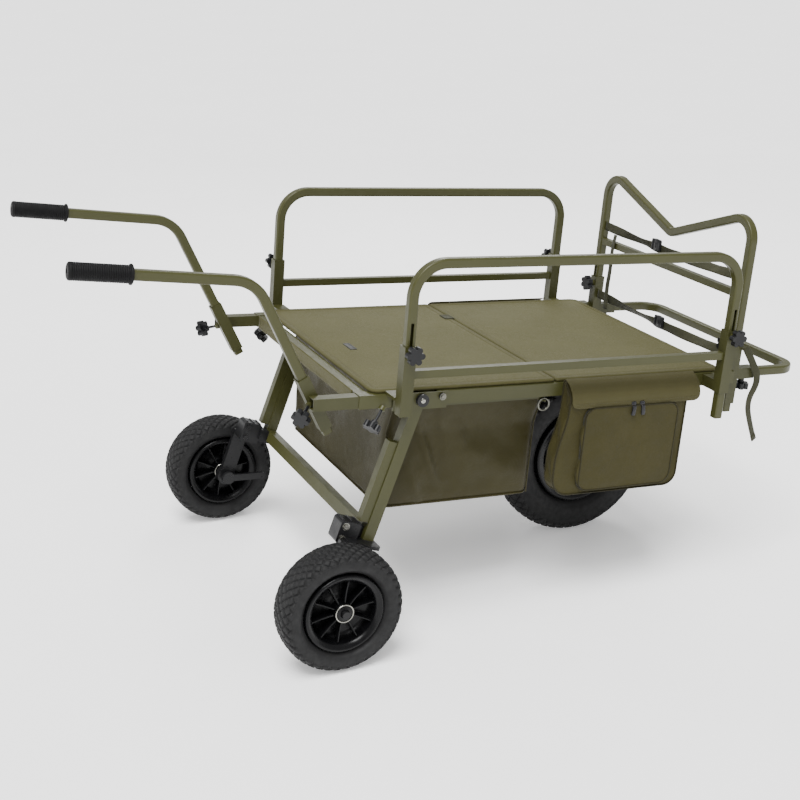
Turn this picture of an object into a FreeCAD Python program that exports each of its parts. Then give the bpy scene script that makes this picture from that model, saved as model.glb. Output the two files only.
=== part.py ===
"""Three-wheel fishing barrow: a parametric assembly.

The load bed is modelled level, in bed coordinates: X runs forward, Y to the
left, Z up, with zero at the height of the edge bars. Every node is then tilted
by bed_pitch, because the bed of the standing barrow runs slightly nose down,
and moved so that the wheels stand on Z = 0 with the barrow centred on X.
"""
import FreeCAD, Part
import math
import os

from FreeCAD import Placement, Rotation, Vector

# ---------------------------------------------------------------- dimensions
# All in millimetres, angles in degrees.
SIZES = {
    # attitude of the bed on its wheels
    "bed_pitch": 4.17,
    # square tubes
    "tube": 20.0, "tube_wall": 1.5, "tube_round": 4.0,
    "sleeve": 25.0, "sleeve_bore": 21.2,
    # chassis: each beam is a rear socket and a front tube joined by two cheeks
    "beam": 28.0, "beam_bore": 25.2, "beam_side": 300.0, "beam_height": -71.0,
    "beam_rear": -592.0, "socket_front": -486.0, "beam_break": -420.0,
    "beam_front": 325.5, "cheek_rear": -520.0, "cheek_front": -400.0,
    "cheek_thick": 3.0, "cheek_lap": 0.5, "cheek_foot": -92.0,
    "cross_tube": 25.0, "cross_bore": 22.0,
    "rear_cross": -578.5, "middle_cross": -140.0, "front_cross": 250.0,
    "fork_cross": 128.0, "strip_depth": 7.0, "strip_width": 10.0,
    "strip_rear": -415.0, "strip_front": -168.0,
    # clamp of the telescopic carrier, on the lower outer edge of the socket
    "carrier_clamp_x": -540.7, "carrier_clamp_back": 0.594,
    "carrier_clamp_out": 0.31, "carrier_clamp_down": 0.742,
    # fixed edge rail of the bed and the sleeves of the side rails
    "rail_side": 364.0, "rail_rear": -520.0, "rail_front": 250.0,
    "edge_bar": 16.0, "edge_bore": 13.0, "rail_sleeve_top": 57.0,
    "rail_sleeve_foot": -84.0, "rail_plate": 6.0, "rail_plate_long": 30.0,
    "rail_plate_lap": 6.5,
    # sliding side rails
    "rail_top": 219.0, "rail_bend": 67.0, "rail_rear_foot": -82.0,
    "rail_front_foot": -143.0, "slot_width": 6.6, "slot_top": 104.0,
    "slot_foot": -20.0, "slot_depth": 4.0, "knob_below_top": 11.0,
    # end panel, its sleeves and the front extension
    "panel_front": 338.0, "panel_side": 285.0, "panel_top": 293.0,
    "panel_dip": 191.0, "panel_bend": 45.0, "dip_bend": 25.0,
    "panel_foot": -160.0, "panel_bar": 16.0, "panel_bar_bore": 13.0,
    "panel_bar_height": 110.0, "panel_sleeve_top": 16.0,
    "panel_sleeve_foot": -140.0, "panel_knob_drop": 18.0,
    "extension_height": -69.5, "extension_tip": 525.0, "extension_bend": 48.0,
    "extension_sleeve": 45.5, "extension_gap": 1.0, "extension_knob_in": 22.0,
    # telescopic carriers and the handles
    "carrier": 24.8, "carrier_bore": 21.8, "carrier_rear": -688.0,
    "carrier_length": 195.0, "carrier_cross": 14.0,
    "handle_side": 275.1, "handle_lean": 28.0, "handle_bend_x": -805.0,
    "handle_bend_z": 170.0, "handle_bend": 75.0, "handle_rise": 4.5,
    "handle_low": 353.0, "handle_high": 328.0, "handle_sleeve": 120.0,
    "handle_sleeve_below": 66.0, "handle_clamp_in": 66.0,
    "grip_length": 116.0, "grip_dia": 34.5, "flange_dia": 39.0,
    "flange_thick": 5.0, "grip_overlap": 95.0,
    # rear leg frame, folding forward about a bolt between the cheeks
    "leg": 25.0, "leg_bore": 22.0, "pivot_x": -457.0, "pivot_z": -72.0,
    "leg_rake": 17.0, "leg_length": 300.0, "leg_above": 7.0,
    "pivot_bolt_dia": 12.0, "pivot_cap_dia": 26.0, "pivot_cap_thick": 8.0,
    "pivot_nut_dia": 20.0, "pivot_nut_thick": 6.0,
    "stay": 20.0, "stay_top": -100.0, "stay_foot": -276.0,
    "stop_bolt_x": -412.0, "stop_bolt_z": -67.0, "stop_bolt_dia": 14.0,
    # wheels
    "axle_dia": 16.0, "running_gap": 0.05,
    "rear_axle_x": -638.0, "rear_axle_z": -470.0, "rear_track": 389.0,
    "rear_tyre_dia": 260.0, "rear_tyre_width": 85.0, "rear_rim_dia": 168.0,
    "front_axle_x": 128.0, "front_axle_z": -344.0,
    "front_tyre_dia": 400.0, "front_tyre_width": 100.0, "front_rim_dia": 236.0,
    "axle_head_thick": 7.0, "axle_proud": 2.0,
    "fork_side": 66.0, "fork_thick": 8.0, "fork_width": 40.0, "crown_long": 70.0,
    # wheel brackets under the legs, and the levers on the axles' inner ends
    "bracket_plate": 8.0, "bracket_arm_side": 333.0, "bracket_arm": 14.0,
    "bracket_arm_width": 34.0, "bracket_eye_dia": 44.0, "bracket_eye": 18.0,
    "axle_inner": 306.0, "lever_disc_dia": 30.0, "lever_disc": 10.0,
    "lever_long": 92.0, "lever_thick": 8.0, "lever_width": 16.0,
    # soft goods
    "lid_half": 307.0, "lid_rear": -565.0, "lid_seam": -140.0,
    "lid_front": 291.0, "lid_top": -49.7, "lid_thick": 7.0, "lid_gap": 2.0,
    "lid_corner": 22.0, "end_flap_drop": 28.0, "end_flap_thick": 2.0,
    "end_flap_inset": 30.0,
    "bag_rear": -502.0, "bag_front": -142.0, "bag_top": -92.5, "bag_foot": -336.0,
    "bag_top_half": 280.0, "bag_half": 254.0, "bag_shoulder": -165.0, "bag_wall": 4.0,
    "pocket_rear": -146.0, "pocket_front": 174.0, "pocket_foot": -300.0,
    "pocket_inner": 314.4, "pocket_outer": 352.0, "pocket_corner": 14.0,
    "front_panel_rear": -88.0, "front_panel_front": 150.0,
    "front_panel_top": -100.0, "front_panel_foot": -290.0,
    "front_panel_outer": 361.0, "front_panel_corner": 26.0,
    "flap_rear": -123.0, "flap_front": 205.0, "flap_top": -48.0,
    "flap_fold": -84.0, "flap_foot": -97.0, "flap_thick": 3.0,
    # webbing straps of the end panel and their loose tails
    "web_width": 22.0, "web_thick": 2.0, "upper_strap": 150.0,
    "lower_strap": -28.0, "buckle_wide": 36.0, "buckle_tall": 30.0,
    "buckle_thick": 7.0, "tail_width": 16.0, "tail_thick": 2.4,
    "near_tail_side": 307.0, "far_tail_side": 219.0,
    # star knobs and small fittings
    "knob_dia": 38.0, "knob_head": 13.0, "knob_neck": 7.0, "knob_lobe": 12.0,
    "screw_dia": 6.0, "long_screw": 25.0, "boss_dia": 14.0, "boss_height": 5.0,
    "boss_root": 4.0, "boss_gap": 0.3,
    "ring_side": 308.0, "ring_ahead": 4.0, "ring_drop": 6.0,
    "ring_radius": 13.0, "ring_wire": 2.2, "ring_pin": 4.0, "ring_slack": 0.1,
}

doc = FreeCAD.newDocument("FishingBarrow")
sheet = doc.addObject("Spreadsheet::Sheet", "Sizes")
for row, (alias, value) in enumerate(SIZES.items(), start=1):
    sheet.set("A%d" % row, alias)
    sheet.set("B%d" % row, str(value))
    sheet.setAlias("B%d" % row, alias)
doc.recompute()


def size(alias):
    """One driving dimension, read back from the sheet."""
    return float(sheet.get(alias))


# ------------------------------------------------------------ small builders
def bind(thing, **expressions):
    """Bind properties of an object to expressions over the sheet's aliases."""
    for name, expression in expressions.items():
        words = expression.split()
        bound = ["Sizes." + word if word in SIZES else word for word in words]
        thing.setExpression(name, " ".join(bound))
    return thing


def box(name, length, width, height, corner, rotation=Rotation()):
    """A block bound to three expressions, set by its lowest corner."""
    block = doc.addObject("Part::Box", name)
    bind(block, Length=length, Width=width, Height=height)
    block.Placement = Placement(corner, rotation)
    return block


def bar(name, along, section, start, end):
    """A solid square bar along X, Y or Z between two points on its centre line."""
    half = section_value(section) / 2.0
    reach = (end - start).Length
    extents = {"X": ("%r" % reach, section, section),
               "Y": (section, "%r" % reach, section),
               "Z": (section, section, "%r" % reach)}[along]
    back = {"X": Vector(0, -half, -half), "Y": Vector(-half, 0, -half),
            "Z": Vector(-half, -half, 0)}[along]
    return box(name, *extents, corner=start + back)


def section_value(expression):
    """The value of a section given as an alias or an alias minus a number."""
    words = expression.split()
    value = size(words[0])
    if len(words) == 3:
        value -= size(words[2]) if words[2] in SIZES else float(words[2])
    return value


def cut(name, base, *tools):
    """Base with each tool taken out of it."""
    for number, tool in enumerate(tools, start=1):
        step = doc.addObject("Part::Cut", "%s_cut%d" % (name, number))
        step.Base = base
        step.Tool = tool
        base = step
    return base


def fuse(name, *pieces):
    """Several touching shapes as one solid."""
    joined = doc.addObject("Part::MultiFuse", name)
    joined.Shapes = list(pieces)
    joined.Refine = True
    return joined


def hollow_bar(name, along, section, bore, start, end):
    """A square tube along X, Y or Z, open at both ends."""
    direction = (end - start).normalize()
    spare = direction * 1.0
    outer = bar(name + "_outer", along, section, start, end)
    inner = bar(name + "_bore", along, bore, start - spare, end + spare)
    return cut(name, outer, inner)


def cylinder(name, diameter, reach, start, direction):
    """A round bar from a start point along a direction."""
    rod = doc.addObject("Part::Cylinder", name)
    bind(rod, Radius="( %s ) / 2" % diameter, Height=reach)
    rod.Placement = Placement(start, Rotation(Vector(0, 0, 1), direction))
    return rod


def mirror(name, source):
    """The same piece on the other side of the barrow."""
    twin = doc.addObject("Part::Mirroring", name)
    twin.Source = source
    twin.Base = Vector(0, 0, 0)
    twin.Normal = Vector(0, 1, 0)
    return twin


def origin_plane(body, role):
    return next(item for item in body.Origin.OriginFeatures if item.Role == role)


def new_sketch(body, name, role, offset=Placement()):
    sketch = body.newObject("Sketcher::SketchObject", name)
    sketch.AttachmentSupport = [(origin_plane(body, role), "")]
    sketch.MapMode = "FlatFace"
    sketch.AttachmentOffset = offset
    return sketch


def draw_closed(sketch, corners, rounding):
    """A closed outline with every corner rounded to its own radius."""
    count = len(corners)
    trims = []
    for index, corner in enumerate(corners):
        before = (corners[index - 1] - corner).normalize()
        after = (corners[(index + 1) % count] - corner).normalize()
        trims.append(fillet_points(corner, before, after, rounding[index]))
    for index, (enter, middle, leave) in enumerate(trims):
        if rounding[index] > 0:
            sketch.addGeometry(Part.Arc(enter, middle, leave), False)
        following = trims[(index + 1) % count][0]
        if (following - leave).Length > 1e-6:
            sketch.addGeometry(Part.LineSegment(leave, following), False)


def fillet_points(corner, before, after, radius):
    """Start, middle and end of the arc that rounds one corner."""
    if radius <= 0:
        return corner, corner, corner
    half_angle = before.getAngle(after) / 2.0
    trim = radius / math.tan(half_angle)
    bisector = (before + after).normalize()
    middle = corner + bisector * (radius / math.sin(half_angle) - radius)
    return corner + before * trim, middle, corner + after * trim


def draw_path(sketch, points, radii):
    """An open path of straight runs joined by tangent arcs."""
    leave = points[0]
    edges = 0
    for index in range(1, len(points) - 1):
        corner = points[index]
        before = (points[index - 1] - corner).normalize()
        after = (points[index + 1] - corner).normalize()
        enter, middle, out = fillet_points(corner, before, after, radii[index - 1])
        sketch.addGeometry(Part.LineSegment(leave, enter), False)
        sketch.addGeometry(Part.Arc(enter, middle, out), False)
        edges += 2
        leave = out
    sketch.addGeometry(Part.LineSegment(leave, points[-1]), False)
    return ["Edge%d" % number for number in range(1, edges + 2)]


def tube_profile(sketch, centre, wide, deep, rounding):
    """A rectangle with rounded corners about a centre."""
    corners = [centre + Vector(x * wide / 2.0, y * deep / 2.0, 0)
               for x, y in ((-1, -1), (1, -1), (1, 1), (-1, 1))]
    draw_closed(sketch, corners, [rounding] * 4)


def swept(name, plane, points, radii, wide, deep, rounding, wall=0.0):
    """A bar, or a tube if it has a wall, along a flat path in one origin plane.

    Points are given in the sketch's own two axes. The section's depth stands
    along the first run's sideways direction in that plane.
    """
    body = doc.addObject("PartDesign::Body", name)
    path = new_sketch(body, name + "_path", plane)
    edges = draw_path(path, points, radii)
    doc.recompute()
    start = path.Placement.multVec(points[0])
    first = path.Placement.multVec(points[1]) - start
    offset = Placement(start, Rotation(Vector(0, 0, 1), first))
    profile = new_sketch(body, name + "_profile", "XY_Plane", offset)
    tube_profile(profile, Vector(0, 0, 0), wide, deep, rounding)
    if wall > 0:
        tube_profile(profile, Vector(0, 0, 0), wide - 2 * wall, deep - 2 * wall,
                     rounding - wall)
    pipe = body.newObject("PartDesign::AdditivePipe", name + "_pipe")
    pipe.Profile = profile
    pipe.Spine = (path, edges)
    doc.recompute()
    return body


def square_tube(name, plane, points, radii):
    """The bent square tube that the rails, the panel and the handles are made of."""
    return swept(name, plane, points, radii, size("tube"), size("tube"),
                 size("tube_round"), size("tube_wall"))


def rounded_block(name, low, high, radius, axis):
    """A block between two corners, its four edges along one axis rounded."""
    span = high - low
    block = doc.addObject("Part::Box", name + "_block")
    block.Length, block.Width, block.Height = span.x, span.y, span.z
    block.Placement.Base = low
    doc.recompute()
    round_edges = doc.addObject("Part::Fillet", name)
    round_edges.Base = block
    unit = {"X": Vector(1, 0, 0), "Y": Vector(0, 1, 0), "Z": Vector(0, 0, 1)}[axis]
    chosen = []
    for number, edge in enumerate(block.Shape.Edges, start=1):
        run = edge.Vertexes[1].Point - edge.Vertexes[0].Point
        if abs(run.normalize().dot(unit)) > 0.99:
            chosen.append((number, radius, radius))
    round_edges.Edges = chosen
    return round_edges


nodes = []


def node(label, *pieces, placement=Placement()):
    """One named sub-part, made of one piece or of several separate ones."""
    part = doc.addObject("Part::Compound", label)
    part.Label = label
    part.Links = list(pieces)
    nodes.append((part, placement))
    return part


# -------------------------------------------------------------- star knobs
def build_knob(name, bare_screw, tip):
    """A six-lobed clamp knob standing on Z = 0, the outer face of its sleeve.

    bare_screw is the length of screw that shows between the boss and the neck,
    and tip is the height that the screw's end stops at.
    """
    up = Vector(0, 0, 1)
    neck_foot = size("boss_height") + size("boss_gap") + bare_screw
    head_foot = neck_foot + size("knob_neck")
    reach = size("knob_dia") / 2.0 - size("knob_lobe") / 2.0
    pieces = [
        cylinder(name + "_core", "knob_dia - knob_lobe", "knob_head", up * head_foot, up),
        cylinder(name + "_neck", "boss_dia", "knob_neck", up * neck_foot, up),
        cylinder(name + "_screw", "screw_dia", "%r" % (head_foot - tip), up * tip, up),
    ]
    for lobe in range(6):
        angle = math.radians(60.0 * lobe)
        foot = Vector(reach * math.cos(angle), reach * math.sin(angle), head_foot)
        pieces.append(cylinder("%s_lobe%d" % (name, lobe), "knob_lobe", "knob_head",
                               foot, up))
    return fuse(name, *pieces)


short_knob = build_knob("short_knob", 0.0, -2.0)
long_knob = build_knob("long_knob", size("long_screw"), 1.0)


def boss(name, face, outward):
    """The threaded boss on a sleeve, and the clearance hole through both."""
    root = face - outward * size("boss_root")
    outer = cylinder(name + "_boss", "boss_dia", "boss_height + boss_root", root, outward)
    hole = cylinder(name + "_hole", "screw_dia + 2 * running_gap",
                    "boss_height + boss_root + 1", root, outward)
    return outer, hole


def knob_pair(label, shape, face, outward):
    """The same star knob on the left side and, mirrored, on the right."""
    for suffix, side in (("_left", 1), ("_right", -1)):
        place = Vector(face.x, side * face.y, face.z)
        axis = Vector(outward.x, side * outward.y, outward.z)
        node(label + suffix, shape,
             placement=Placement(place, Rotation(Vector(0, 0, 1), axis)))


# ------------------------------------------------------------------ chassis
def build_side_beam():
    """Rear socket and front tube of a beam, joined by the cheeks of the leg fold."""
    side, height = size("beam_side"), size("beam_height")
    half = size("beam") / 2.0
    runs = (("socket", size("beam_rear"), size("socket_front")),
            ("front", size("beam_break"), size("beam_front")))
    solids, bores = [], []
    for name, rear, front in runs:
        start, end = Vector(rear, side, height), Vector(front, side, height)
        spare = Vector(1.0, 0, 0)
        solids.append(bar("beam_" + name, "X", "beam", start, end))
        bores.append(bar("beam_%s_bore" % name, "X", "beam_bore", start - spare, end + spare))
    cheek_tall = height + half - size("cheek_foot")
    cheek_long = size("cheek_front") - size("cheek_rear")
    for name, foot in (("outer", side + half - size("cheek_lap")),
                       ("inner", side - half - size("cheek_thick"))):
        solids.append(box("cheek_" + name, "%r" % cheek_long, "cheek_thick + cheek_lap",
                          "%r" % cheek_tall,
                          Vector(size("cheek_rear"), foot, size("cheek_foot"))))
    solids.append(box("beam_strip", "strip_front - strip_rear", "strip_width",
                      "strip_depth",
                      Vector(size("strip_rear"), side - size("strip_width") / 2.0,
                             height - half - size("strip_depth"))))
    solids += build_ring_hook(height - half)
    pivot_hole = cylinder("cheek_hole", "pivot_bolt_dia", "beam + 20",
                          Vector(size("pivot_x"), side - half - 10.0, size("pivot_z")),
                          Vector(0, 1, 0))
    face = Vector(size("carrier_clamp_x"), side + half, height - half)
    outward = Vector(-size("carrier_clamp_back"), size("carrier_clamp_out"),
                     -size("carrier_clamp_down"))
    outer, hole = boss("carrier_clamp", face, outward)
    beam = cut("side_beam", fuse("beam_parts", outer, *solids), pivot_hole, hole, *bores)
    node("side_beam_left", beam)
    node("side_beam_right", mirror("beam_right", beam))
    knob_pair("carrier_knob", long_knob, face, outward)


def build_ring_hook(beam_foot):
    """The lug and pin at the end of the strip that the D-ring hangs on."""
    centre_x = size("strip_front") + size("ring_ahead")
    lug_width = 2.0 * size("ring_ahead")
    wire_foot = beam_foot - size("ring_drop") - size("ring_wire")
    pin_z = wire_foot - size("ring_slack") - size("ring_pin") / 2.0
    lug_foot = pin_z - size("ring_pin")
    start = size("beam_side") - size("strip_width") / 2.0
    lug = box("ring_lug", "%r" % lug_width, "8", "%r" % (beam_foot - lug_foot),
              Vector(size("strip_front"), start, lug_foot))
    pin = cylinder("ring_hook", "ring_pin", "%r" % (size("ring_side") + 5.0 - start),
                   Vector(centre_x, start, pin_z), Vector(0, 1, 0))
    return [lug, pin]


def build_chassis():
    """Cross tubes, edge bars, rail brackets and the front fork."""
    side, height = size("beam_side"), size("beam_height")
    half_beam = size("beam") / 2.0
    inside = side - half_beam
    node("cross_tubes", *[hollow_bar(place, "Y", "cross_tube", "cross_bore",
                                     Vector(size(place), -inside, height),
                                     Vector(size(place), inside, height))
                          for place in ("rear_cross", "middle_cross", "fork_cross",
                                        "front_cross")])

    rail_side = size("rail_side")
    half_sleeve = size("sleeve") / 2.0
    edge = hollow_bar("edge_bar_tube", "X", "edge_bar", "edge_bore",
                      Vector(size("rail_rear") + half_sleeve, rail_side, 0),
                      Vector(size("rail_front") - half_sleeve, rail_side, 0))
    node("edge_bars", edge, mirror("edge_bar_twin", edge))

    # A flat plate over the fold of the legs at the rear, a square stub in front.
    outside = side + half_beam
    gap = rail_side - half_sleeve - outside
    lap = size("rail_plate_lap")
    plate = box("rear_bracket", "rail_plate_long", "%r" % (gap + lap), "rail_plate",
                Vector(size("rail_rear") - size("rail_plate_long") / 2.0, outside - lap,
                       height + half_beam))
    stub = bar("front_bracket", "Y", "cross_tube",
               Vector(size("rail_front"), outside, height),
               Vector(size("rail_front"), outside + gap, height))
    twins = [mirror("rear_bracket_twin", plate), mirror("front_bracket_twin", stub)]
    node("rail_brackets", plate, stub, *twins)
    build_fork(height)


def build_fork(height):
    """Crown plate, two flat arms and the front axle bolt."""
    top = height - size("cross_tube") / 2.0
    centre_x, centre_z = size("front_axle_x"), size("front_axle_z")
    side, thick, width = size("fork_side"), size("fork_thick"), size("fork_width")
    crown_half = side + thick / 2.0
    crown = box("crown", "crown_long", "%r" % (2 * crown_half), "fork_thick",
                Vector(centre_x - size("crown_long") / 2.0, -crown_half, top - thick))
    inner = side - thick / 2.0
    blade = box("arm_blade", "fork_width", "fork_thick", "%r" % (top - thick - centre_z),
                Vector(centre_x - width / 2.0, inner, centre_z))
    sideways = Vector(0, 1, 0)
    eye = cylinder("arm_eye", "fork_width", "fork_thick",
                   Vector(centre_x, inner, centre_z), sideways)
    hole = cylinder("arm_hole", "axle_dia", "fork_thick + 4",
                    Vector(centre_x, inner - 2.0, centre_z), sideways)
    arm = cut("fork_arm", fuse("arm_parts", blade, eye), hole)
    node("front_fork", crown, arm, mirror("fork_arm_twin", arm))
    reach = crown_half + size("axle_proud")
    axle = cylinder("front_axle_bar", "axle_dia", "%r" % (2 * reach),
                    Vector(centre_x, -reach, centre_z), sideways)
    heads = [cylinder("front_axle_head%d" % end, "axle_dia + 8", "axle_head_thick",
                      Vector(centre_x, crown_half * end, centre_z), Vector(0, end, 0))
             for end in (-1, 1)]
    node("front_axle", fuse("front_axle_parts", axle, *heads))


# ------------------------------------------------- side rails and end panel
def build_side_rails():
    """Sliding inverted-U rails in their four sleeves, with clamp knobs."""
    side = size("rail_side")
    rear, front = size("rail_rear"), size("rail_front")
    top, foot = size("rail_sleeve_top"), size("rail_sleeve_foot")
    knob_height = top - size("knob_below_top")
    outward = Vector(0, 1, 0)
    sleeves = []
    for place, name in ((rear, "rear"), (front, "front")):
        tube = hollow_bar("rail_sleeve_" + name, "Z", "sleeve", "sleeve_bore",
                          Vector(place, side, foot), Vector(place, side, top))
        face = Vector(place, side + size("sleeve") / 2.0, knob_height)
        outer, hole = boss("rail_clamp_" + name, face, outward)
        bore = bar("rail_bore_" + name, "Z", "sleeve_bore",
                   Vector(place, side, foot), Vector(place, side, top))
        sleeves.append(cut("rail_sleeve_%s_done" % name,
                           fuse("rail_sleeve_%s_parts" % name, tube, outer), hole, bore))
        knob_pair("rail_knob_" + name, short_knob, face, outward)
    node("rail_sleeves", *sleeves, *[mirror(s.Name + "_twin", s) for s in sleeves])

    # Sketch axes on the XZ plane are X and Z.
    height = size("rail_top")
    points = [Vector(rear, size("rail_rear_foot"), 0), Vector(rear, height, 0),
              Vector(front, height, 0), Vector(front, size("rail_front_foot"), 0)]
    rail = square_tube("side_rail", "XZ_Plane", points, [size("rail_bend")] * 2)
    rail.Placement.Base = Vector(0, side, 0)
    half_slot = size("slot_width") / 2.0
    cut_from = side + size("tube") / 2.0 - size("slot_depth") + 1.0
    slots = [box("rail_slot_" + name, "slot_width", "slot_depth", "slot_top - slot_foot",
                 Vector(place - half_slot, cut_from, size("slot_foot")))
             for place, name in ((rear, "rear"), (front, "front"))]
    slotted = cut("side_rail_slotted", rail, *slots)
    node("side_rail_left", slotted)
    node("side_rail_right", mirror("side_rail_twin", slotted))


def build_end_sleeves():
    """Upright sleeves of the end panel, each with a socket for the extension."""
    front, side = size("panel_front"), size("panel_side")
    top, foot = size("panel_sleeve_top"), size("panel_sleeve_foot")
    half = size("sleeve") / 2.0
    level = size("extension_height")
    socket_start = Vector(front + half, side, level)
    socket_end = socket_start + Vector(size("extension_sleeve"), 0, 0)
    low, high = Vector(front, side, foot), Vector(front, side, top)
    spare = Vector(0, 0, 1.0)
    shells = [bar("panel_sleeve", "Z", "sleeve", low, high),
              bar("extension_socket", "X", "sleeve", socket_start, socket_end)]
    bores = [bar("panel_bore", "Z", "sleeve_bore", low - spare, high + spare),
             bar("extension_bore", "X", "sleeve_bore", socket_start,
                 socket_end + Vector(1.0, 0, 0))]
    panel_face = Vector(front - half, side, top - size("panel_knob_drop"))
    panel_boss, panel_hole = boss("panel_clamp", panel_face, Vector(-1, 0, 0))
    socket_face = Vector(socket_start.x + size("extension_knob_in"), side, level - half)
    socket_boss, socket_hole = boss("extension_clamp", socket_face, Vector(0, 0, -1))
    sleeve = cut("end_sleeve", fuse("end_sleeve_parts", panel_boss, socket_boss, *shells),
                 panel_hole, socket_hole, *bores)
    node("end_sleeve_left", sleeve)
    node("end_sleeve_right", mirror("end_sleeve_twin", sleeve))
    knob_pair("panel_knob", short_knob, panel_face, Vector(-1, 0, 0))
    knob_pair("extension_knob", short_knob, socket_face, Vector(0, 0, -1))


def build_end_panel():
    """The M-shaped end panel with its cross bar, and the sliding front loop."""
    front, side = size("panel_front"), size("panel_side")
    # Sketch axes on the YZ plane are Y and Z.
    height, dip, low = size("panel_top"), size("panel_dip"), size("panel_foot")
    points = [Vector(-side, low, 0), Vector(-side, height, 0), Vector(0, dip, 0),
              Vector(side, height, 0), Vector(side, low, 0)]
    radii = [size("panel_bend"), size("dip_bend"), size("panel_bend")]
    panel = square_tube("end_panel_tube", "YZ_Plane", points, radii)
    panel.Placement.Base = Vector(front, 0, 0)
    knob_z = size("panel_sleeve_top") - size("panel_knob_drop")
    slot_long = size("slot_top") - size("slot_foot")
    slots = [box("panel_slot_" + name, "slot_depth", "slot_width", "%r" % slot_long,
                 Vector(front - size("tube") / 2.0 - 1.0,
                        place - size("slot_width") / 2.0, knob_z - slot_long / 2.0))
             for place, name in ((side, "left"), (-side, "right"))]
    node("end_panel", cut("end_panel_slotted", panel, *slots))
    inside = side - size("tube") / 2.0
    cross = hollow_bar("panel_bar_tube", "Y", "panel_bar", "panel_bar_bore",
                       Vector(front, -inside, size("panel_bar_height")),
                       Vector(front, inside, size("panel_bar_height")))
    node("end_panel_bar", cross)

    start = front + size("sleeve") / 2.0 + size("extension_gap")
    tip = size("extension_tip")
    points = [Vector(start, -side, 0), Vector(tip, -side, 0),
              Vector(tip, side, 0), Vector(start, side, 0)]
    loop = square_tube("extension_tube", "XY_Plane", points, [size("extension_bend")] * 2)
    loop.Placement.Base = Vector(0, 0, size("extension_height"))
    node("front_extension", loop)


# ------------------------------------------------------------------ handles
def build_handles():
    """Telescopic carriers, with the cranked push handles in their sleeves."""
    side, height = size("beam_side"), size("beam_height")
    rear = size("carrier_rear")
    start = Vector(rear, side, height)
    end = Vector(rear + size("carrier_length"), side, height)
    carrier = hollow_bar("carrier_tube", "X", "carrier", "carrier_bore", start, end)
    # The handle leans back, so its own frame has Z up along the lower run.
    lean = Rotation(Vector(0, 1, 0), -size("handle_lean"))
    bend = Vector(size("handle_bend_x"), size("handle_side"), size("handle_bend_z"))
    frame = Placement(bend, lean)
    crossing = Vector(rear + size("carrier_cross"), bend.y, height)
    sleeve_low = frame.inverse().multVec(crossing).z - size("handle_sleeve_below")
    low = Vector(0, 0, sleeve_low)
    high = Vector(0, 0, sleeve_low + size("handle_sleeve"))
    spare = Vector(0, 0, 1.0)
    sleeve = bar("handle_sleeve_tube", "Z", "sleeve", low, high)
    bore = bar("handle_sleeve_bore", "Z", "sleeve_bore", low - spare, high + spare)
    for piece in (sleeve, bore):
        piece.Placement = frame.multiply(piece.Placement)
    # The clamp bears on the sleeve's rear outer edge.
    edge = size("sleeve") / 2.0
    clamp_z = sleeve_low + size("handle_clamp_in")
    face = frame.multVec(Vector(-edge, edge, clamp_z))
    outward = lean.multVec(Vector(-1, 1, 0).normalize())
    outer, hole = boss("handle_clamp", face, outward)
    done = cut("carrier_done", fuse("carrier_parts", carrier, sleeve, outer), hole, bore)
    node("carrier_left", done)
    node("carrier_right", mirror("carrier_twin", done))
    knob_pair("handle_knob", long_knob, face, outward)

    # Sketch axes on the XZ plane are X and Z; the path starts at the low end.
    rise = math.radians(180.0 - size("handle_rise") - size("handle_lean"))
    high = Vector(math.cos(rise), math.sin(rise), 0) * size("handle_high")
    points = [Vector(0, -size("handle_low"), 0), Vector(0, 0, 0), high]
    tube = square_tube("handle", "XZ_Plane", points, [size("handle_bend")])
    tube.Placement = frame
    node("handle_tube_left", tube)
    node("handle_tube_right", mirror("handle_twin", tube))
    build_grips(bend, math.radians(size("handle_rise")))


def build_grips(bend, rise):
    """Rubber grips with an end flange, pushed over the tube's end."""
    backward = Vector(-math.cos(rise), 0, math.sin(rise))
    flange = bend + backward * (size("handle_high") - size("grip_overlap"))
    turn = Rotation(Vector(0, 0, 1), backward)
    body = cylinder("grip_body", "grip_dia", "grip_length", flange, backward)
    collar = cylinder("grip_collar", "flange_dia", "flange_thick", flange, backward)
    half = size("tube") / 2.0
    bore = box("grip_bore", "tube", "tube", "grip_overlap",
               flange + turn.multVec(Vector(-half, -half, 0)), turn)
    grip = cut("grip", fuse("grip_parts", body, collar), bore)
    node("grip_left", grip)
    node("grip_right", mirror("grip_twin", grip))


# ---------------------------------------------------------- rear leg frame
def leg_frame():
    """Frame of the raked leg: origin on the pivot, Z up along the leg."""
    turn = Rotation(Vector(0, 1, 0), size("leg_rake"))
    return Placement(Vector(size("pivot_x"), 0, size("pivot_z")), turn)


def in_leg_frame(piece):
    piece.Placement = leg_frame().multiply(piece.Placement)
    return piece


def build_leg_frame():
    """Two raked legs, each with a stay behind it, and the cross tube at their feet."""
    side, length = size("beam_side"), size("leg_length")
    half = size("leg") / 2.0
    leg = hollow_bar("leg_tube", "Z", "leg", "leg_bore",
                     Vector(0, side, -length - half), Vector(0, side, size("leg_above")))
    hole = cylinder("leg_pivot_hole", "pivot_bolt_dia + 2 * running_gap", "leg + 4",
                    Vector(0, side - half - 2.0, 0), Vector(0, 1, 0))
    stay_x = -half - size("stay") / 2.0 + 0.5
    stay = bar("leg_stay", "Z", "stay", Vector(stay_x, side, size("stay_foot")),
               Vector(stay_x, side, size("stay_top")))
    leg = in_leg_frame(cut("leg", fuse("leg_parts", leg, stay), hole))
    node("rear_legs", leg, mirror("leg_twin", leg))
    inside = side - half
    cross = in_leg_frame(hollow_bar("leg_cross", "Y", "leg", "leg_bore",
                                    Vector(0, -inside, -length), Vector(0, inside, -length)))
    node("leg_cross_tube", cross)
    build_wheel_brackets(-length - half)
    build_leg_bolts()


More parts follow.
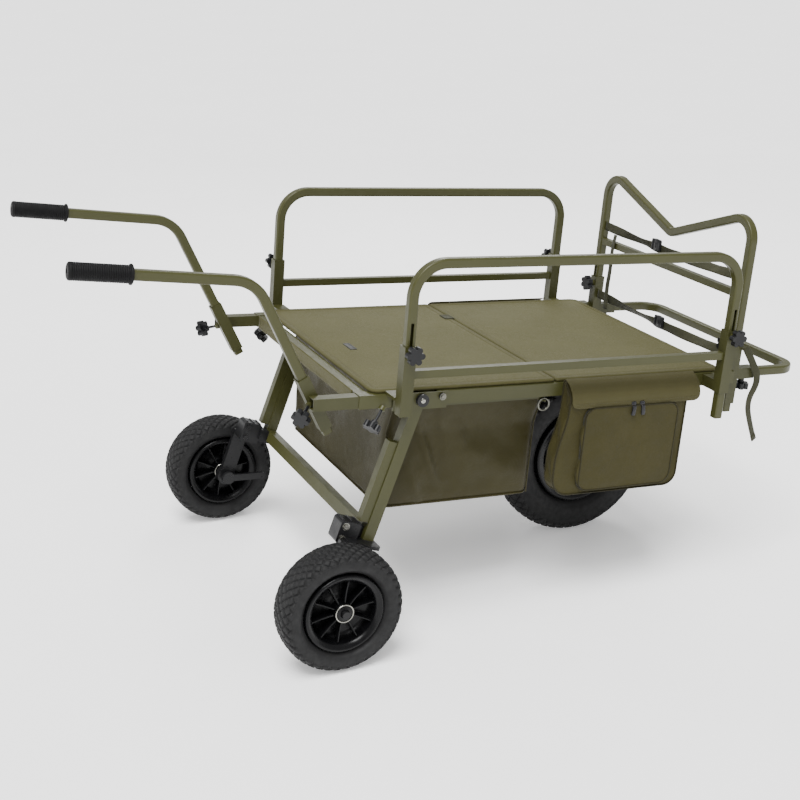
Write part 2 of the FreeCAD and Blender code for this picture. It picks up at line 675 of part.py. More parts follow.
def build_wheel_brackets(foot):
    """The casting under each leg's foot that carries a rear axle."""
    axle = leg_frame().inverse().multVec(Vector(size("rear_axle_x"), 0,
                                                size("rear_axle_z")))
    half = size("leg") / 2.0
    arm_side, arm_thick = size("bracket_arm_side"), size("bracket_arm")
    plate_foot = foot - size("bracket_plate")
    plate = rounded_block("bracket_plate", Vector(-60.0, 284.0, plate_foot),
                          Vector(18.0, 343.0, foot), 7.0, "Z")
    block = rounded_block("bracket_block", Vector(-76.0, 280.0, foot - 15.0),
                          Vector(-30.0, 320.0, foot + 33.0), 6.0, "Y")
    neck = box("bracket_neck", "20", "28", "24", Vector(-half - 20.0, 272.0, foot + 0.5))
    arm_width = size("bracket_arm_width")
    arm = box("bracket_arm", "bracket_arm_width", "bracket_arm",
              "%r" % (foot - 3.0 - axle.z),
              Vector(axle.x - arm_width / 2.0, arm_side - arm_thick / 2.0, axle.z))
    sideways = Vector(0, 1, 0)
    eye_start = Vector(axle.x, arm_side - size("bracket_eye") / 2.0, axle.z)
    eye = cylinder("bracket_eye", "bracket_eye_dia", "bracket_eye", eye_start, sideways)
    bore = cylinder("bracket_bore", "axle_dia", "bracket_eye + 4",
                    eye_start - sideways * 2.0, sideways)
    bracket = in_leg_frame(cut("bracket", fuse("bracket_parts", plate, block, neck, arm,
                                               eye), bore))
    axle_in = size("axle_inner")
    axle_out = size("rear_track") + size("rear_tyre_width") / 2.0
    stub = in_leg_frame(cylinder("axle_bar", "axle_dia", "%r" % (axle_out - axle_in),
                                 Vector(axle.x, axle_in, axle.z), sideways))
    node("wheel_bracket_left", bracket, stub)
    node("wheel_bracket_right", mirror("bracket_twin", bracket), mirror("axle_twin", stub))
    build_quick_release(axle_in)


def build_quick_release(axle_in):
    """The lever that turns on the inner end of each axle."""
    axle = Vector(size("rear_axle_x"), axle_in, size("rear_axle_z"))
    sideways = Vector(0, 1, 0)
    half = size("lever_width") / 2.0
    disc = cylinder("lever_disc", "lever_disc_dia", "lever_disc", axle, sideways)
    blade = rounded_block("lever_blade", axle + Vector(0, 0, -half),
                          axle + Vector(size("lever_long"), size("lever_thick"), half),
                          6.0, "Y")
    hole = cylinder("lever_hole", "axle_dia + 2 * running_gap", "lever_disc + 10",
                    axle - sideways * 5.0, sideways)
    lever = cut("lever", fuse("lever_parts", disc, blade), hole)
    node("release_lever_left", lever)
    node("release_lever_right", mirror("lever_twin", lever))


def build_leg_bolts():
    """The pivot bolt through the cheeks, and the stop bolt in front of it."""
    sideways = Vector(0, 1, 0)
    outer = size("beam_side") + size("beam") / 2.0 + size("cheek_thick")
    inner = 2.0 * size("beam_side") - outer
    pivot = Vector(size("pivot_x"), inner, size("pivot_z"))
    shank = cylinder("pivot_shank", "pivot_bolt_dia", "%r" % (outer - inner), pivot,
                     sideways)
    cap = cylinder("pivot_cap", "pivot_cap_dia", "pivot_cap_thick",
                   pivot + sideways * (outer - inner), sideways)
    nut = cylinder("pivot_nut", "pivot_nut_dia", "pivot_nut_thick",
                   pivot - sideways * size("pivot_nut_thick"), sideways)
    bolt = fuse("pivot_bolt", shank, cap, nut)
    stop = cylinder("stop_bolt", "stop_bolt_dia", "3",
                    Vector(size("stop_bolt_x"), outer, size("stop_bolt_z")), sideways)
    node("leg_pivot_bolts", bolt, stop, mirror("pivot_bolt_twin", bolt),
         mirror("stop_bolt_twin", stop))


# ------------------------------------------------------------------- wheels
def revolved(name, corners, rounding, centre):
    """A ring about the wheel's Y axis, from a section of radius against width."""
    body = doc.addObject("PartDesign::Body", name)
    sketch = new_sketch(body, name + "_section", "YZ_Plane")
    draw_closed(sketch, corners, rounding)
    turn = body.newObject("PartDesign::Revolution", name + "_turn")
    turn.Profile = sketch
    turn.ReferenceAxis = (sketch, ["H_Axis"])
    turn.Angle = 360.0
    doc.recompute()
    body.Placement.Base = centre
    return body


def build_wheel(name, tyre_dia, tyre_width, rim_dia, centre):
    """A foam tyre on a ribbed plastic rim. Section points are width, radius."""
    radius, rim, half = tyre_dia / 2.0, rim_dia / 2.0, tyre_width / 2.0
    seat = half * 0.86
    shoulder = radius - 6.0
    waist = rim + (radius - rim) * 0.45
    tyre = revolved(name + "_tyre_ring",
                    [Vector(-seat, rim, 0), Vector(seat, rim, 0), Vector(half, waist, 0),
                     Vector(seat, shoulder, 0), Vector(half * 0.45, radius, 0),
                     Vector(-half * 0.45, radius, 0), Vector(-seat, shoulder, 0),
                     Vector(-half, waist, 0)],
                    [2.0, 2.0, 10.0, 12.0, 30.0, 30.0, 12.0, 10.0], centre)
    dish = rim * 0.79
    hub = 19.5
    web_foot, web_edge = 3.0, 5.0
    bore = size("axle_dia") / 2.0 + size("running_gap")
    shell = revolved(name + "_rim_shell",
                     [Vector(-seat, dish, 0), Vector(-web_edge, dish - 4.0, 0),
                      Vector(-web_foot, hub, 0), Vector(-seat, hub - 1.0, 0),
                      Vector(-seat, bore, 0), Vector(seat, bore, 0),
                      Vector(seat, hub - 1.0, 0), Vector(web_foot, hub, 0),
                      Vector(web_edge, dish - 4.0, 0), Vector(seat, dish, 0),
                      Vector(seat, rim, 0), Vector(-seat, rim, 0)],
                     [3.0, 0, 0, 1.5, 0, 0, 1.5, 0, 0, 3.0, 3.0, 3.0], centre)
    ribs = []
    rib_long = dish - hub + 3.0
    rib_deep = seat * 1.55
    rib_thick = 2.6
    for spoke in range(10):
        turn = Rotation(Vector(0, 1, 0), 36.0 * spoke + 8.0)
        corner = centre + turn.multVec(Vector(hub - 2.0, -rib_deep / 2.0,
                                              -rib_thick / 2.0))
        ribs.append(box("%s_rib%d" % (name, spoke), "%r" % rib_long, "%r" % rib_deep,
                        "%r" % rib_thick, corner, turn))
    return tyre, fuse(name + "_rim_parts", shell, *ribs)


def build_wheels():
    rear_centre = Vector(size("rear_axle_x"), size("rear_track"), size("rear_axle_z"))
    tyre, rim = build_wheel("rear", size("rear_tyre_dia"), size("rear_tyre_width"),
                            size("rear_rim_dia"), rear_centre)
    node("rear_tyre_left", tyre)
    node("rear_rim_left", rim)
    node("rear_tyre_right", mirror("rear_tyre_twin", tyre))
    node("rear_rim_right", mirror("rear_rim_twin", rim))
    front_centre = Vector(size("front_axle_x"), 0, size("front_axle_z"))
    tyre, rim = build_wheel("front", size("front_tyre_dia"), size("front_tyre_width"),
                            size("front_rim_dia"), front_centre)
    node("front_tyre", tyre)
    node("front_rim", rim)


# --------------------------------------------------------------- soft goods
def build_lids():
    """Two padded boards that meet at the seam and lift about their outer ends."""
    half, top = size("lid_half"), size("lid_top")
    foot = top - size("lid_thick")
    seam, gap = size("lid_seam"), size("lid_gap") / 2.0
    rear = rounded_block("lid_rear_board", Vector(size("lid_rear"), -half, foot),
                         Vector(seam - gap, half, top), size("lid_corner"), "Z")
    front = rounded_block("lid_front_board", Vector(seam + gap, -half, foot),
                          Vector(size("lid_front"), half, top), size("lid_corner"), "Z")
    node("lid_rear", rear)
    node("lid_front", front)
    rear_face = size("rear_cross") - size("cross_tube") / 2.0
    inset, drop = size("end_flap_inset"), size("end_flap_drop")
    flap = box("lid_flap", "end_flap_thick", "%r" % (2 * (half - inset)), "end_flap_drop",
               Vector(rear_face - size("end_flap_thick"), inset - half, foot - drop - 0.3))
    node("lid_end_flap", flap)


def extruded(name, corners, rounding, rear, front):
    """A solid with one section, given as Y and Z, along the bed from rear to front."""
    body = doc.addObject("PartDesign::Body", name)
    sketch = new_sketch(body, name + "_section", "YZ_Plane",
                        Placement(Vector(0, 0, rear), Rotation()))
    draw_closed(sketch, corners, rounding)
    pad = body.newObject("PartDesign::Pad", name + "_pad")
    pad.Profile = sketch
    pad.Length = front - rear
    doc.recompute()
    return body


def build_bags():
    """The open-topped bag slung behind the front wheel, and the two side pockets."""
    top, shoulder, foot = size("bag_top"), size("bag_shoulder"), size("bag_foot")
    wide, half, wall = size("bag_top_half"), size("bag_half"), size("bag_wall")
    corners = [Vector(-half, foot, 0), Vector(half, foot, 0), Vector(half, shoulder, 0),
               Vector(wide, top, 0), Vector(-wide, top, 0), Vector(-half, shoulder, 0)]
    bag = extruded("bag", corners, [18.0, 18.0, 20.0, 2.0, 2.0, 20.0],
                   size("bag_rear"), size("bag_front"))
    wide, half, foot, mouth = wide - wall, half - wall, foot + wall, top + wall
    corners = [Vector(-half, foot, 0), Vector(half, foot, 0), Vector(half, shoulder, 0),
               Vector(wide, top, 0), Vector(wide, mouth, 0), Vector(-wide, mouth, 0),
               Vector(-wide, top, 0), Vector(-half, shoulder, 0)]
    hollow = extruded("bag_hollow", corners, [14.0, 14.0, 20.0, 2.0, 1.0, 1.0, 2.0, 20.0],
                      size("bag_rear") + wall, size("bag_front") - wall)
    node("under_bag", cut("bag_shell", bag, hollow))

    inner, outer = size("pocket_inner"), size("pocket_outer")
    top, fold, foot = size("flap_top"), size("flap_fold"), size("pocket_foot")
    corners = [Vector(inner, foot, 0), Vector(outer, foot, 0), Vector(outer, fold, 0),
               Vector(inner + 4.0, top, 0), Vector(inner, top, 0)]
    rounding = [2.0, size("pocket_corner"), 4.0, 1.0, 1.0]
    pocket = extruded("pocket_body", corners, rounding, size("pocket_rear"),
                      size("pocket_front"))
    thick = size("flap_thick")
    corners = [Vector(outer - 2.0, size("flap_foot"), 0),
               Vector(outer + thick, size("flap_foot"), 0), Vector(outer + thick, fold, 0),
               Vector(inner + 4.0 + thick, top, 0), Vector(inner + 2.0, top - 2.0, 0),
               Vector(outer - 2.0, fold - 2.0, 0)]
    flap = extruded("pocket_flap", corners, [0.5, 0.5, 4.0, 0.5, 0.5, 0.5],
                    size("flap_rear"), size("flap_front"))
    panel = rounded_block("pocket_panel",
                          Vector(size("front_panel_rear"), outer - 2.0,
                                 size("front_panel_foot")),
                          Vector(size("front_panel_front"), size("front_panel_outer"),
                                 size("front_panel_top")),
                          size("front_panel_corner"), "Y")
    pocket = fuse("pocket", pocket, flap, panel)
    node("side_pocket_left", pocket)
    node("side_pocket_right", mirror("pocket_twin", pocket))


# --------------------------------------------------------- straps and rings
def build_straps():
    """Two webbing straps between the posts, each with a buckle near its middle."""
    front, side = size("panel_front"), size("panel_side")
    width, thick = size("web_width"), size("web_thick")
    for label, level, post in (("upper_strap", size("upper_strap"), size("tube")),
                               ("lower_strap", size("lower_strap"), size("sleeve"))):
        reach = side - post / 2.0 - 0.3
        web = box(label + "_web", "web_thick", "%r" % (2 * reach), "web_width",
                  Vector(front - thick / 2.0, -reach, level - width / 2.0))
        node(label, web)
    wide, tall, deep = size("buckle_wide"), size("buckle_tall"), size("buckle_thick")
    for label, level, place in (("upper_buckle", size("upper_strap"), 49.0),
                                ("lower_buckle", size("lower_strap"), -4.0)):
        rear_face = front - thick / 2.0
        buckle = rounded_block(label + "_block",
                               Vector(rear_face - deep, place - wide / 2.0,
                                      level - tall / 2.0),
                               Vector(rear_face, place + wide / 2.0, level + tall / 2.0),
                               4.0, "X")
        node(label, buckle)


def run_radii(name, points):
    """Bend radii of a loose strap: 0.45 of the shorter run over the half turn."""
    radii = []
    for before, corner, after in zip(points, points[1:], points[2:]):
        arrive, leave = corner - before, after - corner
        shorter = min(arrive.Length, leave.Length)
        radii.append(0.45 * shorter / math.tan(arrive.getAngle(leave) / 2.0))
    print(name, "bend radii", [round(radius, 1) for radius in radii])
    return radii


def build_strap_tails():
    """The loose ends of the webbing: flat, hanging in planes along the bed."""
    routes = {
        # Beside the right-hand sleeve, forward over the socket and down.
        "strap_tail_near": (-size("near_tail_side"),
                            [(351, -4), (380, -43), (405, -85), (380, -135), (402, -194),
                             (420, -230)]),
        # Down from the upper strap, behind the lower one.
        "strap_tail_far": (size("far_tail_side"),
                           [(331, 138), (325, 108), (328, 50), (324, -5), (328, -55)]),
    }
    for label, (side, route) in routes.items():
        points = [Vector(x, z, 0) for x, z in route]
        tail = swept(label + "_web", "XZ_Plane", points, run_radii(label, points),
                     size("tail_thick"), size("tail_width"), 1.0)
        tail.Placement.Base = Vector(0, side, 0)
        node(label, tail)


def build_rings():
    """A D-ring hung on the hook at the end of the strip under each beam."""
    top = size("beam_height") - size("beam") / 2.0 - size("ring_drop")
    centre = Vector(size("strip_front") + size("ring_ahead"), size("ring_side"),
                    top - size("ring_radius"))
    torus = doc.addObject("Part::Torus", "ring")
    bind(torus, Radius1="ring_radius", Radius2="ring_wire")
    torus.Placement = Placement(centre, Rotation(Vector(1, 0, 0), 90))
    node("d_ring_left", torus)
    node("d_ring_right", mirror("ring_twin", torus))


# ------------------------------------------------------------------ assembly
def standing_placement():
    """Tilt of the bed, with both wheel sizes touching the ground at Z = 0."""
    tilt = Rotation(Vector(0, 1, 0), size("bed_pitch"))
    axles = (Vector(size("rear_axle_x"), 0, size("rear_axle_z")),
             Vector(size("front_axle_x"), 0, size("front_axle_z")))
    radii = (size("rear_tyre_dia") / 2.0, size("front_tyre_dia") / 2.0)
    lift = max(radius - tilt.multVec(axle).z for axle, radius in zip(axles, radii))
    return Placement(Vector(0, 0, lift), tilt)


def assemble():
    """Stand every node up, then centre the barrow on X."""
    doc.recompute()
    standing = standing_placement()
    for part, local in nodes:
        part.Placement = standing.multiply(local)
    doc.recompute()
    box_all = FreeCAD.BoundBox()
    for part, _ in nodes:
        box_all.add(part.Shape.BoundBox)
    shift = Placement(Vector(-box_all.Center.x, 0, 0), Rotation())
    for part, local in nodes:
        part.Placement = shift.multiply(standing).multiply(local)
    doc.recompute()
    return shift.multiply(standing)


def check_and_export():
    """Stop on any failed feature, then write one STEP file for each node."""
    for item in doc.Objects:
        if "Invalid" in item.State or "Error" in item.State:
            raise RuntimeError("%s failed: %s" % (item.Name, item.State))
    os.makedirs("parts", exist_ok=True)
    for part, _ in nodes:
        shape = part.Shape
        if shape.isNull() or not shape.isValid() or not shape.Solids:
            raise RuntimeError("%s has no valid shape" % part.Label)
        shape.exportStep("parts/%s.step" % part.Label)
        print("%-24s %d solid(s) %10.0f mm3" % (part.Label, len(shape.Solids), shape.Volume))


build_side_beam()
build_chassis()
build_side_rails()
build_end_sleeves()
build_end_panel()
build_handles()
build_leg_frame()
build_wheels()
build_lids()
build_bags()
build_straps()
build_strap_tails()
build_rings()
STANDING = assemble()
check_and_export()
print("nodes:", len(nodes), "placement:", STANDING)
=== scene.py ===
"""Looks of the fishing barrow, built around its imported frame. Sizes in millimetres in
the bed's own frame (X forward, Y left, Z up) and turned to metres by deck()."""
import math

import bpy
from mathutils import Matrix, Vector, noise


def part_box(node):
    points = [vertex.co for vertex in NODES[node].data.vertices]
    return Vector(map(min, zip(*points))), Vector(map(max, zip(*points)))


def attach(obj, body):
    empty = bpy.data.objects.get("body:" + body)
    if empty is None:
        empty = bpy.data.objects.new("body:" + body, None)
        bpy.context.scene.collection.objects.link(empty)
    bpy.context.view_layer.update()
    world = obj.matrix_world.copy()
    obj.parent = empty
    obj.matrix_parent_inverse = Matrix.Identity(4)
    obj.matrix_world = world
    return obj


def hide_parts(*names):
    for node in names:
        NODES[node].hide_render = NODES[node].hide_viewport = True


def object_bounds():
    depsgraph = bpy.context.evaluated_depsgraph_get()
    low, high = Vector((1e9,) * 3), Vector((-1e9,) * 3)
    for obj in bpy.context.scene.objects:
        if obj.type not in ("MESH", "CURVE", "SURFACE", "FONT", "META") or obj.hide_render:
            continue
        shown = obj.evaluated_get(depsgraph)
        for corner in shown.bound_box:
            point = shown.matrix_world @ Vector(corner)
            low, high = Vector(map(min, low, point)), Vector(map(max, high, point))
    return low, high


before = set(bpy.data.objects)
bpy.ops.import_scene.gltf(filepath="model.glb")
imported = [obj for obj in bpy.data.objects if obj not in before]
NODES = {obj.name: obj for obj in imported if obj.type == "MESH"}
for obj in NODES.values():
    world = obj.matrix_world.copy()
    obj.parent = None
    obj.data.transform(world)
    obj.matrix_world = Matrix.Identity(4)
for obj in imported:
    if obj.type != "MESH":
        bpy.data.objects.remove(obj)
cad_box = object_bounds()

# ------------------------------------------------------------------ bed frame
TILT = math.radians(4.17)
TURN = Matrix.Rotation(TILT, 3, "Y")
ORIGIN = Vector((0.302194, 0.0, 0.552397))
PIVOT_X, PIVOT_Z = -457.0, -72.0
SIDES = (("left", 1.0), ("right", -1.0))


def deck(x, y, z):
    """A point of the bed, in millimetres, as a point of the row frame in metres."""
    return TURN @ (Vector((x, y, z)) * 0.001) + ORIGIN


def deck_way(x, y, z):
    """A direction in the bed's frame, turned into the row frame."""
    return TURN @ Vector((x, y, z))


def place_object(name, data):
    """A new object with that data, in the scene."""
    made = bpy.data.objects.new(name, data)
    bpy.context.scene.collection.objects.link(made)
    return made


# --------------------------------------------------------------------- camera
RIGHT = Vector((0.90357, -0.42068, 0.08118))
DOWN = Vector((-0.06243, -0.31672, -0.94646))
AHEAD = Vector((0.42386, 0.85013, -0.31245))
camera = place_object("camera", bpy.data.cameras.new("camera"))
camera.data.sensor_width = 36.0
camera.data.lens = 60.84
camera.data.clip_end = 400.0
axes = Matrix((TURN @ RIGHT, -(TURN @ DOWN), -(TURN @ AHEAD))).transposed().to_4x4()
axes.translation = deck(-1641.0, -2595.0, 768.0)
camera.matrix_world = axes
bpy.context.scene.camera = camera


# ------------------------------------------------------------------ materials
class Nodes:
    """A short way to write a material's node tree."""

    def __init__(self, name):
        self.material = bpy.data.materials.new(name)
        self.material.use_nodes = True
        self.tree = self.material.node_tree
        self.shader = self.tree.nodes["Principled BSDF"]
        self.place = self.add("ShaderNodeTexCoord").outputs["Object"]

    def add(self, kind, **values):
        made = self.tree.nodes.new(kind)
        for key, value in values.items():
            setattr(made, key, value)
        return made

    def set(self, made, **values):
        for key, value in values.items():
            made.inputs[key.replace("_", " ")].default_value = value

    def link(self, a, b):
        self.tree.links.new(a, b)

    def noise(self, scale, detail=3.0, rough=0.55, stretch=None):
        made = self.add("ShaderNodeTexNoise")
        self.set(made, Scale=scale, Detail=detail, Roughness=rough)
        place = self.place
        if stretch:
            mapping = self.add("ShaderNodeMapping")
            self.set(mapping, Scale=stretch)
            self.link(place, mapping.inputs["Vector"])
            place = mapping.outputs["Vector"]
        self.link(place, made.inputs["Vector"])
        return made.outputs["Fac"]

    def ramp(self, fac, stops):
        made = self.add("ShaderNodeValToRGB")
        bar = made.color_ramp
        while len(bar.elements) < len(stops):
            bar.elements.new(0.5)
        for element, (place, colour) in zip(bar.elements, stops):
            element.position = place
            element.color = (*colour, 1.0)
        self.link(fac, made.inputs["Fac"])
        return made.outputs["Color"]

    def spread(self, fac, low, high):
        made = self.add("ShaderNodeMapRange")
        self.set(made, From_Min=0.3, From_Max=0.7, To_Min=low, To_Max=high)
        self.link(fac, made.inputs["Value"])
        return made.outputs["Result"]

    def wave(self, direction, place, scale, distortion, detail):
        made = self.add("ShaderNodeTexWave", wave_type="BANDS", bands_direction=direction)
        self.set(made, Scale=scale, Distortion=distortion, Detail=detail)
        self.link(place, made.inputs["Vector"])
        return made.outputs["Fac"]

    def math(self, how, a, b):
        made = self.add("ShaderNodeMath", operation=how)
        for socket, value in zip(made.inputs, (a, b)):
            if isinstance(value, (int, float)):
                socket.default_value = value
            else:
                self.link(value, socket)
        return made.outputs["Value"]

    def bump(self, height, distance, strength=1.0, under=None):
        made = self.add("ShaderNodeBump")
        self.set(made, Distance=distance, Strength=strength)
        self.link(height, made.inputs["Height"])
        if under:
            self.link(under, made.inputs["Normal"])
        return made.outputs["Normal"]

    def finish(self, colour=None, rough=None, normal=None, **fixed):
        for value, socket in ((colour, "Base Color"), (rough, "Roughness"),
                              (normal, "Normal")):
            if value:
                self.link(value, self.shader.inputs[socket])
        self.set(self.shader, **fixed)
        return self.material


def shade(colour, amount):
    return tuple(c * amount for c in colour)


def powder_coat(name, colour, rough=(0.34, 0.46)):
    """Satin powder coat: orange peel, a little dust and fine scuffs."""
    n = Nodes(name)
    blotch = n.noise(6.0, 4.0)
    tone = n.ramp(blotch, [(0.25, shade(colour, 0.9)), (0.75, shade(colour, 1.08))])
    dust = n.noise(38.0, 6.0, 0.7)
    scuff = n.noise(160.0, 2.0, 0.5, (1.0, 1.0, 0.12))
    peel = n.noise(900.0, 2.0, 0.5)
    normal = n.bump(peel, 0.00012, 0.5, n.bump(scuff, 0.00006, 0.35))
    return n.finish(tone, n.spread(dust, *rough), normal, Coat_Weight=0.03,
                    Coat_Roughness=0.3, Specular_IOR_Level=0.26)


def moulding(name, colour, rough=(0.38, 0.6), grain=700.0, depth=0.0002, gloss=0.22):
    """Moulded plastic or rubber with a fine grained face."""
    n = Nodes(name)
    tone = n.ramp(n.noise(22.0, 5.0, 0.65),
                  [(0.3, shade(colour, 0.8)), (0.72, shade(colour, 1.3))])
    normal = n.bump(n.noise(grain, 3.0, 0.6), depth, 0.6)
    return n.finish(tone, n.spread(n.noise(60.0, 4.0), *rough), normal,
                    Specular_IOR_Level=gloss)


def bright_metal(name, colour, rough=(0.16, 0.32)):
    """Plated or bare steel with fine scratches."""
    n = Nodes(name)
    tone = n.ramp(n.noise(45.0, 4.0, 0.6),
                  [(0.25, shade(colour, 0.78)), (0.7, colour)])
    scratch = n.noise(420.0, 3.0, 0.7, (1.0, 0.08, 1.0))
    return n.finish(tone, n.spread(scratch, *rough), n.bump(scratch, 0.00003, 0.4),
                    Metallic=1.0)


def cloth(name, colour, pitch=0.0011, dusty=1.12, rough=(0.6, 0.78), mottle=0.86):
    """Coated woven polyester: plain weave along the bed, faint creases and dust."""
    n = Nodes(name)
    mapping = n.add("ShaderNodeMapping", vector_type="TEXTURE")
    n.set(mapping, Rotation=(0.0, TILT, 0.0))
    n.link(n.place, mapping.inputs["Vector"])
    height = None
    for direction in "XYZ":
        value = n.wave(direction, mapping.outputs["Vector"],
                       1.0 / (pitch * 20.0) * 2.0 * math.pi, 0.4, 1.0)
        height = value if height is None else n.math("MAXIMUM", height, value)
    crease = n.noise(13.0, 6.0, 0.62)
    fine = n.noise(240.0, 3.0, 0.6)
    patches = n.math("ADD", n.math("MULTIPLY", crease, 0.75),
                     n.math("MULTIPLY", fine, 0.25))
    tone = n.ramp(patches, [(0.3, shade(colour, mottle)), (0.5, colour),
                            (0.72, shade(colour, dusty))])
    normal = n.bump(height, 0.00022, 0.55, n.bump(crease, 0.0016, 0.5))
    return n.finish(tone, n.spread(fine, *rough), normal, Sheen_Weight=0.03,
                    Sheen_Roughness=0.45, Specular_IOR_Level=0.16)


def ribbon(name, colour):
    """Woven webbing: a herringbone of fine diagonal cords."""
    n = Nodes(name)
    height = None
    for direction in ("X", "Y", "Z", "DIAGONAL"):
        value = n.wave(direction, n.place, 190.0, 0.6, 2.0)
        height = (value if height is None
                  else n.math("MULTIPLY", n.math("ADD", height, value), 0.6))
    tone = n.ramp(n.noise(70.0, 4.0, 0.6),
                  [(0.3, shade(colour, 0.8)), (0.7, shade(colour, 1.2))])
    return n.finish(tone, n.spread(n.noise(300.0), 0.62, 0.82),
                    n.bump(height, 0.0004, 0.6), Sheen_Weight=0.04, Sheen_Roughness=0.5,
                    Specular_IOR_Level=0.2)


def tyre_rubber(name):
    """Matte charcoal rubber, its tone varying at random, with fine pits."""
    n = Nodes(name)
    tone = n.ramp(n.noise(30.0, 6.0, 0.7), [(0.3, (0.0060, 0.0060, 0.0062)),
                                           (0.55, (0.0080, 0.0080, 0.0082)),
                                           (0.8, (0.0120, 0.0118, 0.0114))])
    pits = n.noise(520.0, 4.0, 0.7)
    return n.finish(tone, n.spread(n.noise(85.0, 4.0), 0.58, 0.8),
                    n.bump(pits, 0.0003, 0.55), Specular_IOR_Level=0.25)


OLIVE = (0.0375, 0.0380, 0.0098)
paint = powder_coat("olive_powder_coat", OLIVE)
paint_dark = powder_coat("olive_powder_coat_sleeves", shade(OLIVE, 0.86), (0.38, 0.5))
casting = moulding("nylon_casting", (0.0075, 0.0075, 0.008), (0.26, 0.44), 480.0, 0.0003)
knob_plastic = moulding("knob_nylon", (0.0065, 0.0067, 0.0074), (0.3, 0.46))
grip_rubber = moulding("grip_rubber", (0.0042, 0.0042, 0.0045), (0.5, 0.68), 600.0,
                       gloss=0.12)
rim_plastic = moulding("rim_nylon", (0.0022, 0.0022, 0.0025), (0.2, 0.34), 500.0, 0.0001,
                       gloss=0.16)
black_steel = moulding("black_oxide_steel", (0.009, 0.009, 0.0095), (0.24, 0.4), 300.0)
steel = bright_metal("plated_steel", (0.3, 0.295, 0.265))
dull_steel = bright_metal("dull_plated_steel", (0.16, 0.158, 0.135), (0.28, 0.44))
rubber = tyre_rubber("tyre_rubber")
LID = (0.0580, 0.0545, 0.0185)
BAG = (0.0250, 0.0214, 0.0044)
POCKET = (0.0300, 0.0262, 0.0066)
lid_cloth = cloth("deck_cloth", LID, dusty=1.06, mottle=0.95)
lid_binding = cloth("deck_binding", shade(LID, 0.93), pitch=0.0016, mottle=0.9)
bag_cloth = cloth("bag_cloth", BAG, dusty=1.1, mottle=0.92, rough=(0.42, 0.6))
bag_lining = cloth("bag_lining", shade(BAG, 0.45), mottle=0.8)
pocket_cloth = cloth("pocket_cloth", POCKET, dusty=1.16)
# the flap's cloth is the pocket's cloth painted lighter: painted light on the flap, not a
# different fabric
flap_cloth_painted_light = cloth("flap_cloth_painted_light", (0.0450, 0.0405, 0.0145), mottle=0.9)
# piping at half the pocket's tone: darker trim, and also painted shade along the pocket's
# seams and zip line
pocket_trim_and_seam_shade = cloth("pocket_piping", shade(POCKET, 0.5), pitch=0.0016)
webbing = ribbon("webbing", (0.026, 0.026, 0.0115))
thread = ribbon("thread", (0.06, 0.054, 0.024))
zip_tape = ribbon("zip_tape", (0.02, 0.02, 0.016))
zip_metal = moulding("zip_pull_coating", (0.012, 0.012, 0.014), (0.22, 0.36))
patch_plastic = moulding("patch_rubber", (0.026, 0.026, 0.024), (0.4, 0.55), 350.0)


# --------------------------------------------------------------- mesh helpers
def piece(name, points, faces, body, material, slot=None, replaced=(), smooth=True):
    """A mesh piece from points already in the row frame, riding on a body."""
    mesh = bpy.data.meshes.new(name)
    mesh.from_pydata([tuple(p) for p in points], [], faces)
    mesh.validate()
    mesh.update()
    mesh.materials.append(material)
    if smooth:
        mesh.shade_smooth()
    made = place_object(name, mesh)
    if body:
        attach(made, body)
    if replaced:
        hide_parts(*replaced)
    return made


def sheet_faces(rows, columns, close_rows=False, close_columns=False, start=0):
    """Quads of a rows by columns grid of points."""
    faces = []
    for i in range(rows if close_rows else rows - 1):
        for j in range(columns if close_columns else columns - 1):
            a, b = i, (i + 1) % rows
            c, d = j, (j + 1) % columns
            faces.append((start + a * columns + c, start + a * columns + d,
                          start + b * columns + d, start + b * columns + c))
    return faces


def caps(first, last, count):
    """The flat ends of a run of rings, from their first points' numbers."""
    return [tuple(reversed(range(first, first + count))),
            tuple(range(last, last + count))]


def bridge(first, count, shift):
    """Quads that close a ring from side to side, starting shift points along it."""
    order = [first + (k + shift) % count for k in range(count)]
    return [(order[k], order[k + 1], order[count - k - 2], order[count - k - 1])
            for k in range(count // 2 - 1)]


def headings(path, closed):
    """Each point of a path with the way that the path runs there."""
    for k, point in enumerate(path):
        before = path[k - 1] if k or closed else path[0]
        after = path[(k + 1) % len(path)] if k + 1 < len(path) or closed else path[-1]
        yield point, (after - before).normalized()


def modifier(made, kind, **values):
    step = made.modifiers.new(kind.lower(), kind)
    for key, value in values.items():
        setattr(step, key, value)
    return step


def settle(made):
    """The piece's modifiers applied to its mesh."""
    graph = bpy.context.evaluated_depsgraph_get()
    made.data = bpy.data.meshes.new_from_object(made.evaluated_get(graph))
    made.modifiers.clear()
    return made


def lathe(profile, centre, axis, steps):
    """Points and faces of a closed profile, (radius, along) pairs, turned on an axis."""
    side = axis.orthogonal().normalized()
    across = axis.cross(side)
    points = []
    for k in range(steps):
        turn = 2.0 * math.pi * k / steps
        spoke = side * math.cos(turn) + across * math.sin(turn)
        points += [centre + spoke * r + axis * a for r, a in profile]
    return points, sheet_faces(steps, len(profile), True, True)


def turned(name, profile, centre, axis, steps, body, *more):
    """A piece made by turning a closed profile on an axis."""
    return piece(name, *lathe(profile, centre, axis, steps), body, *more)


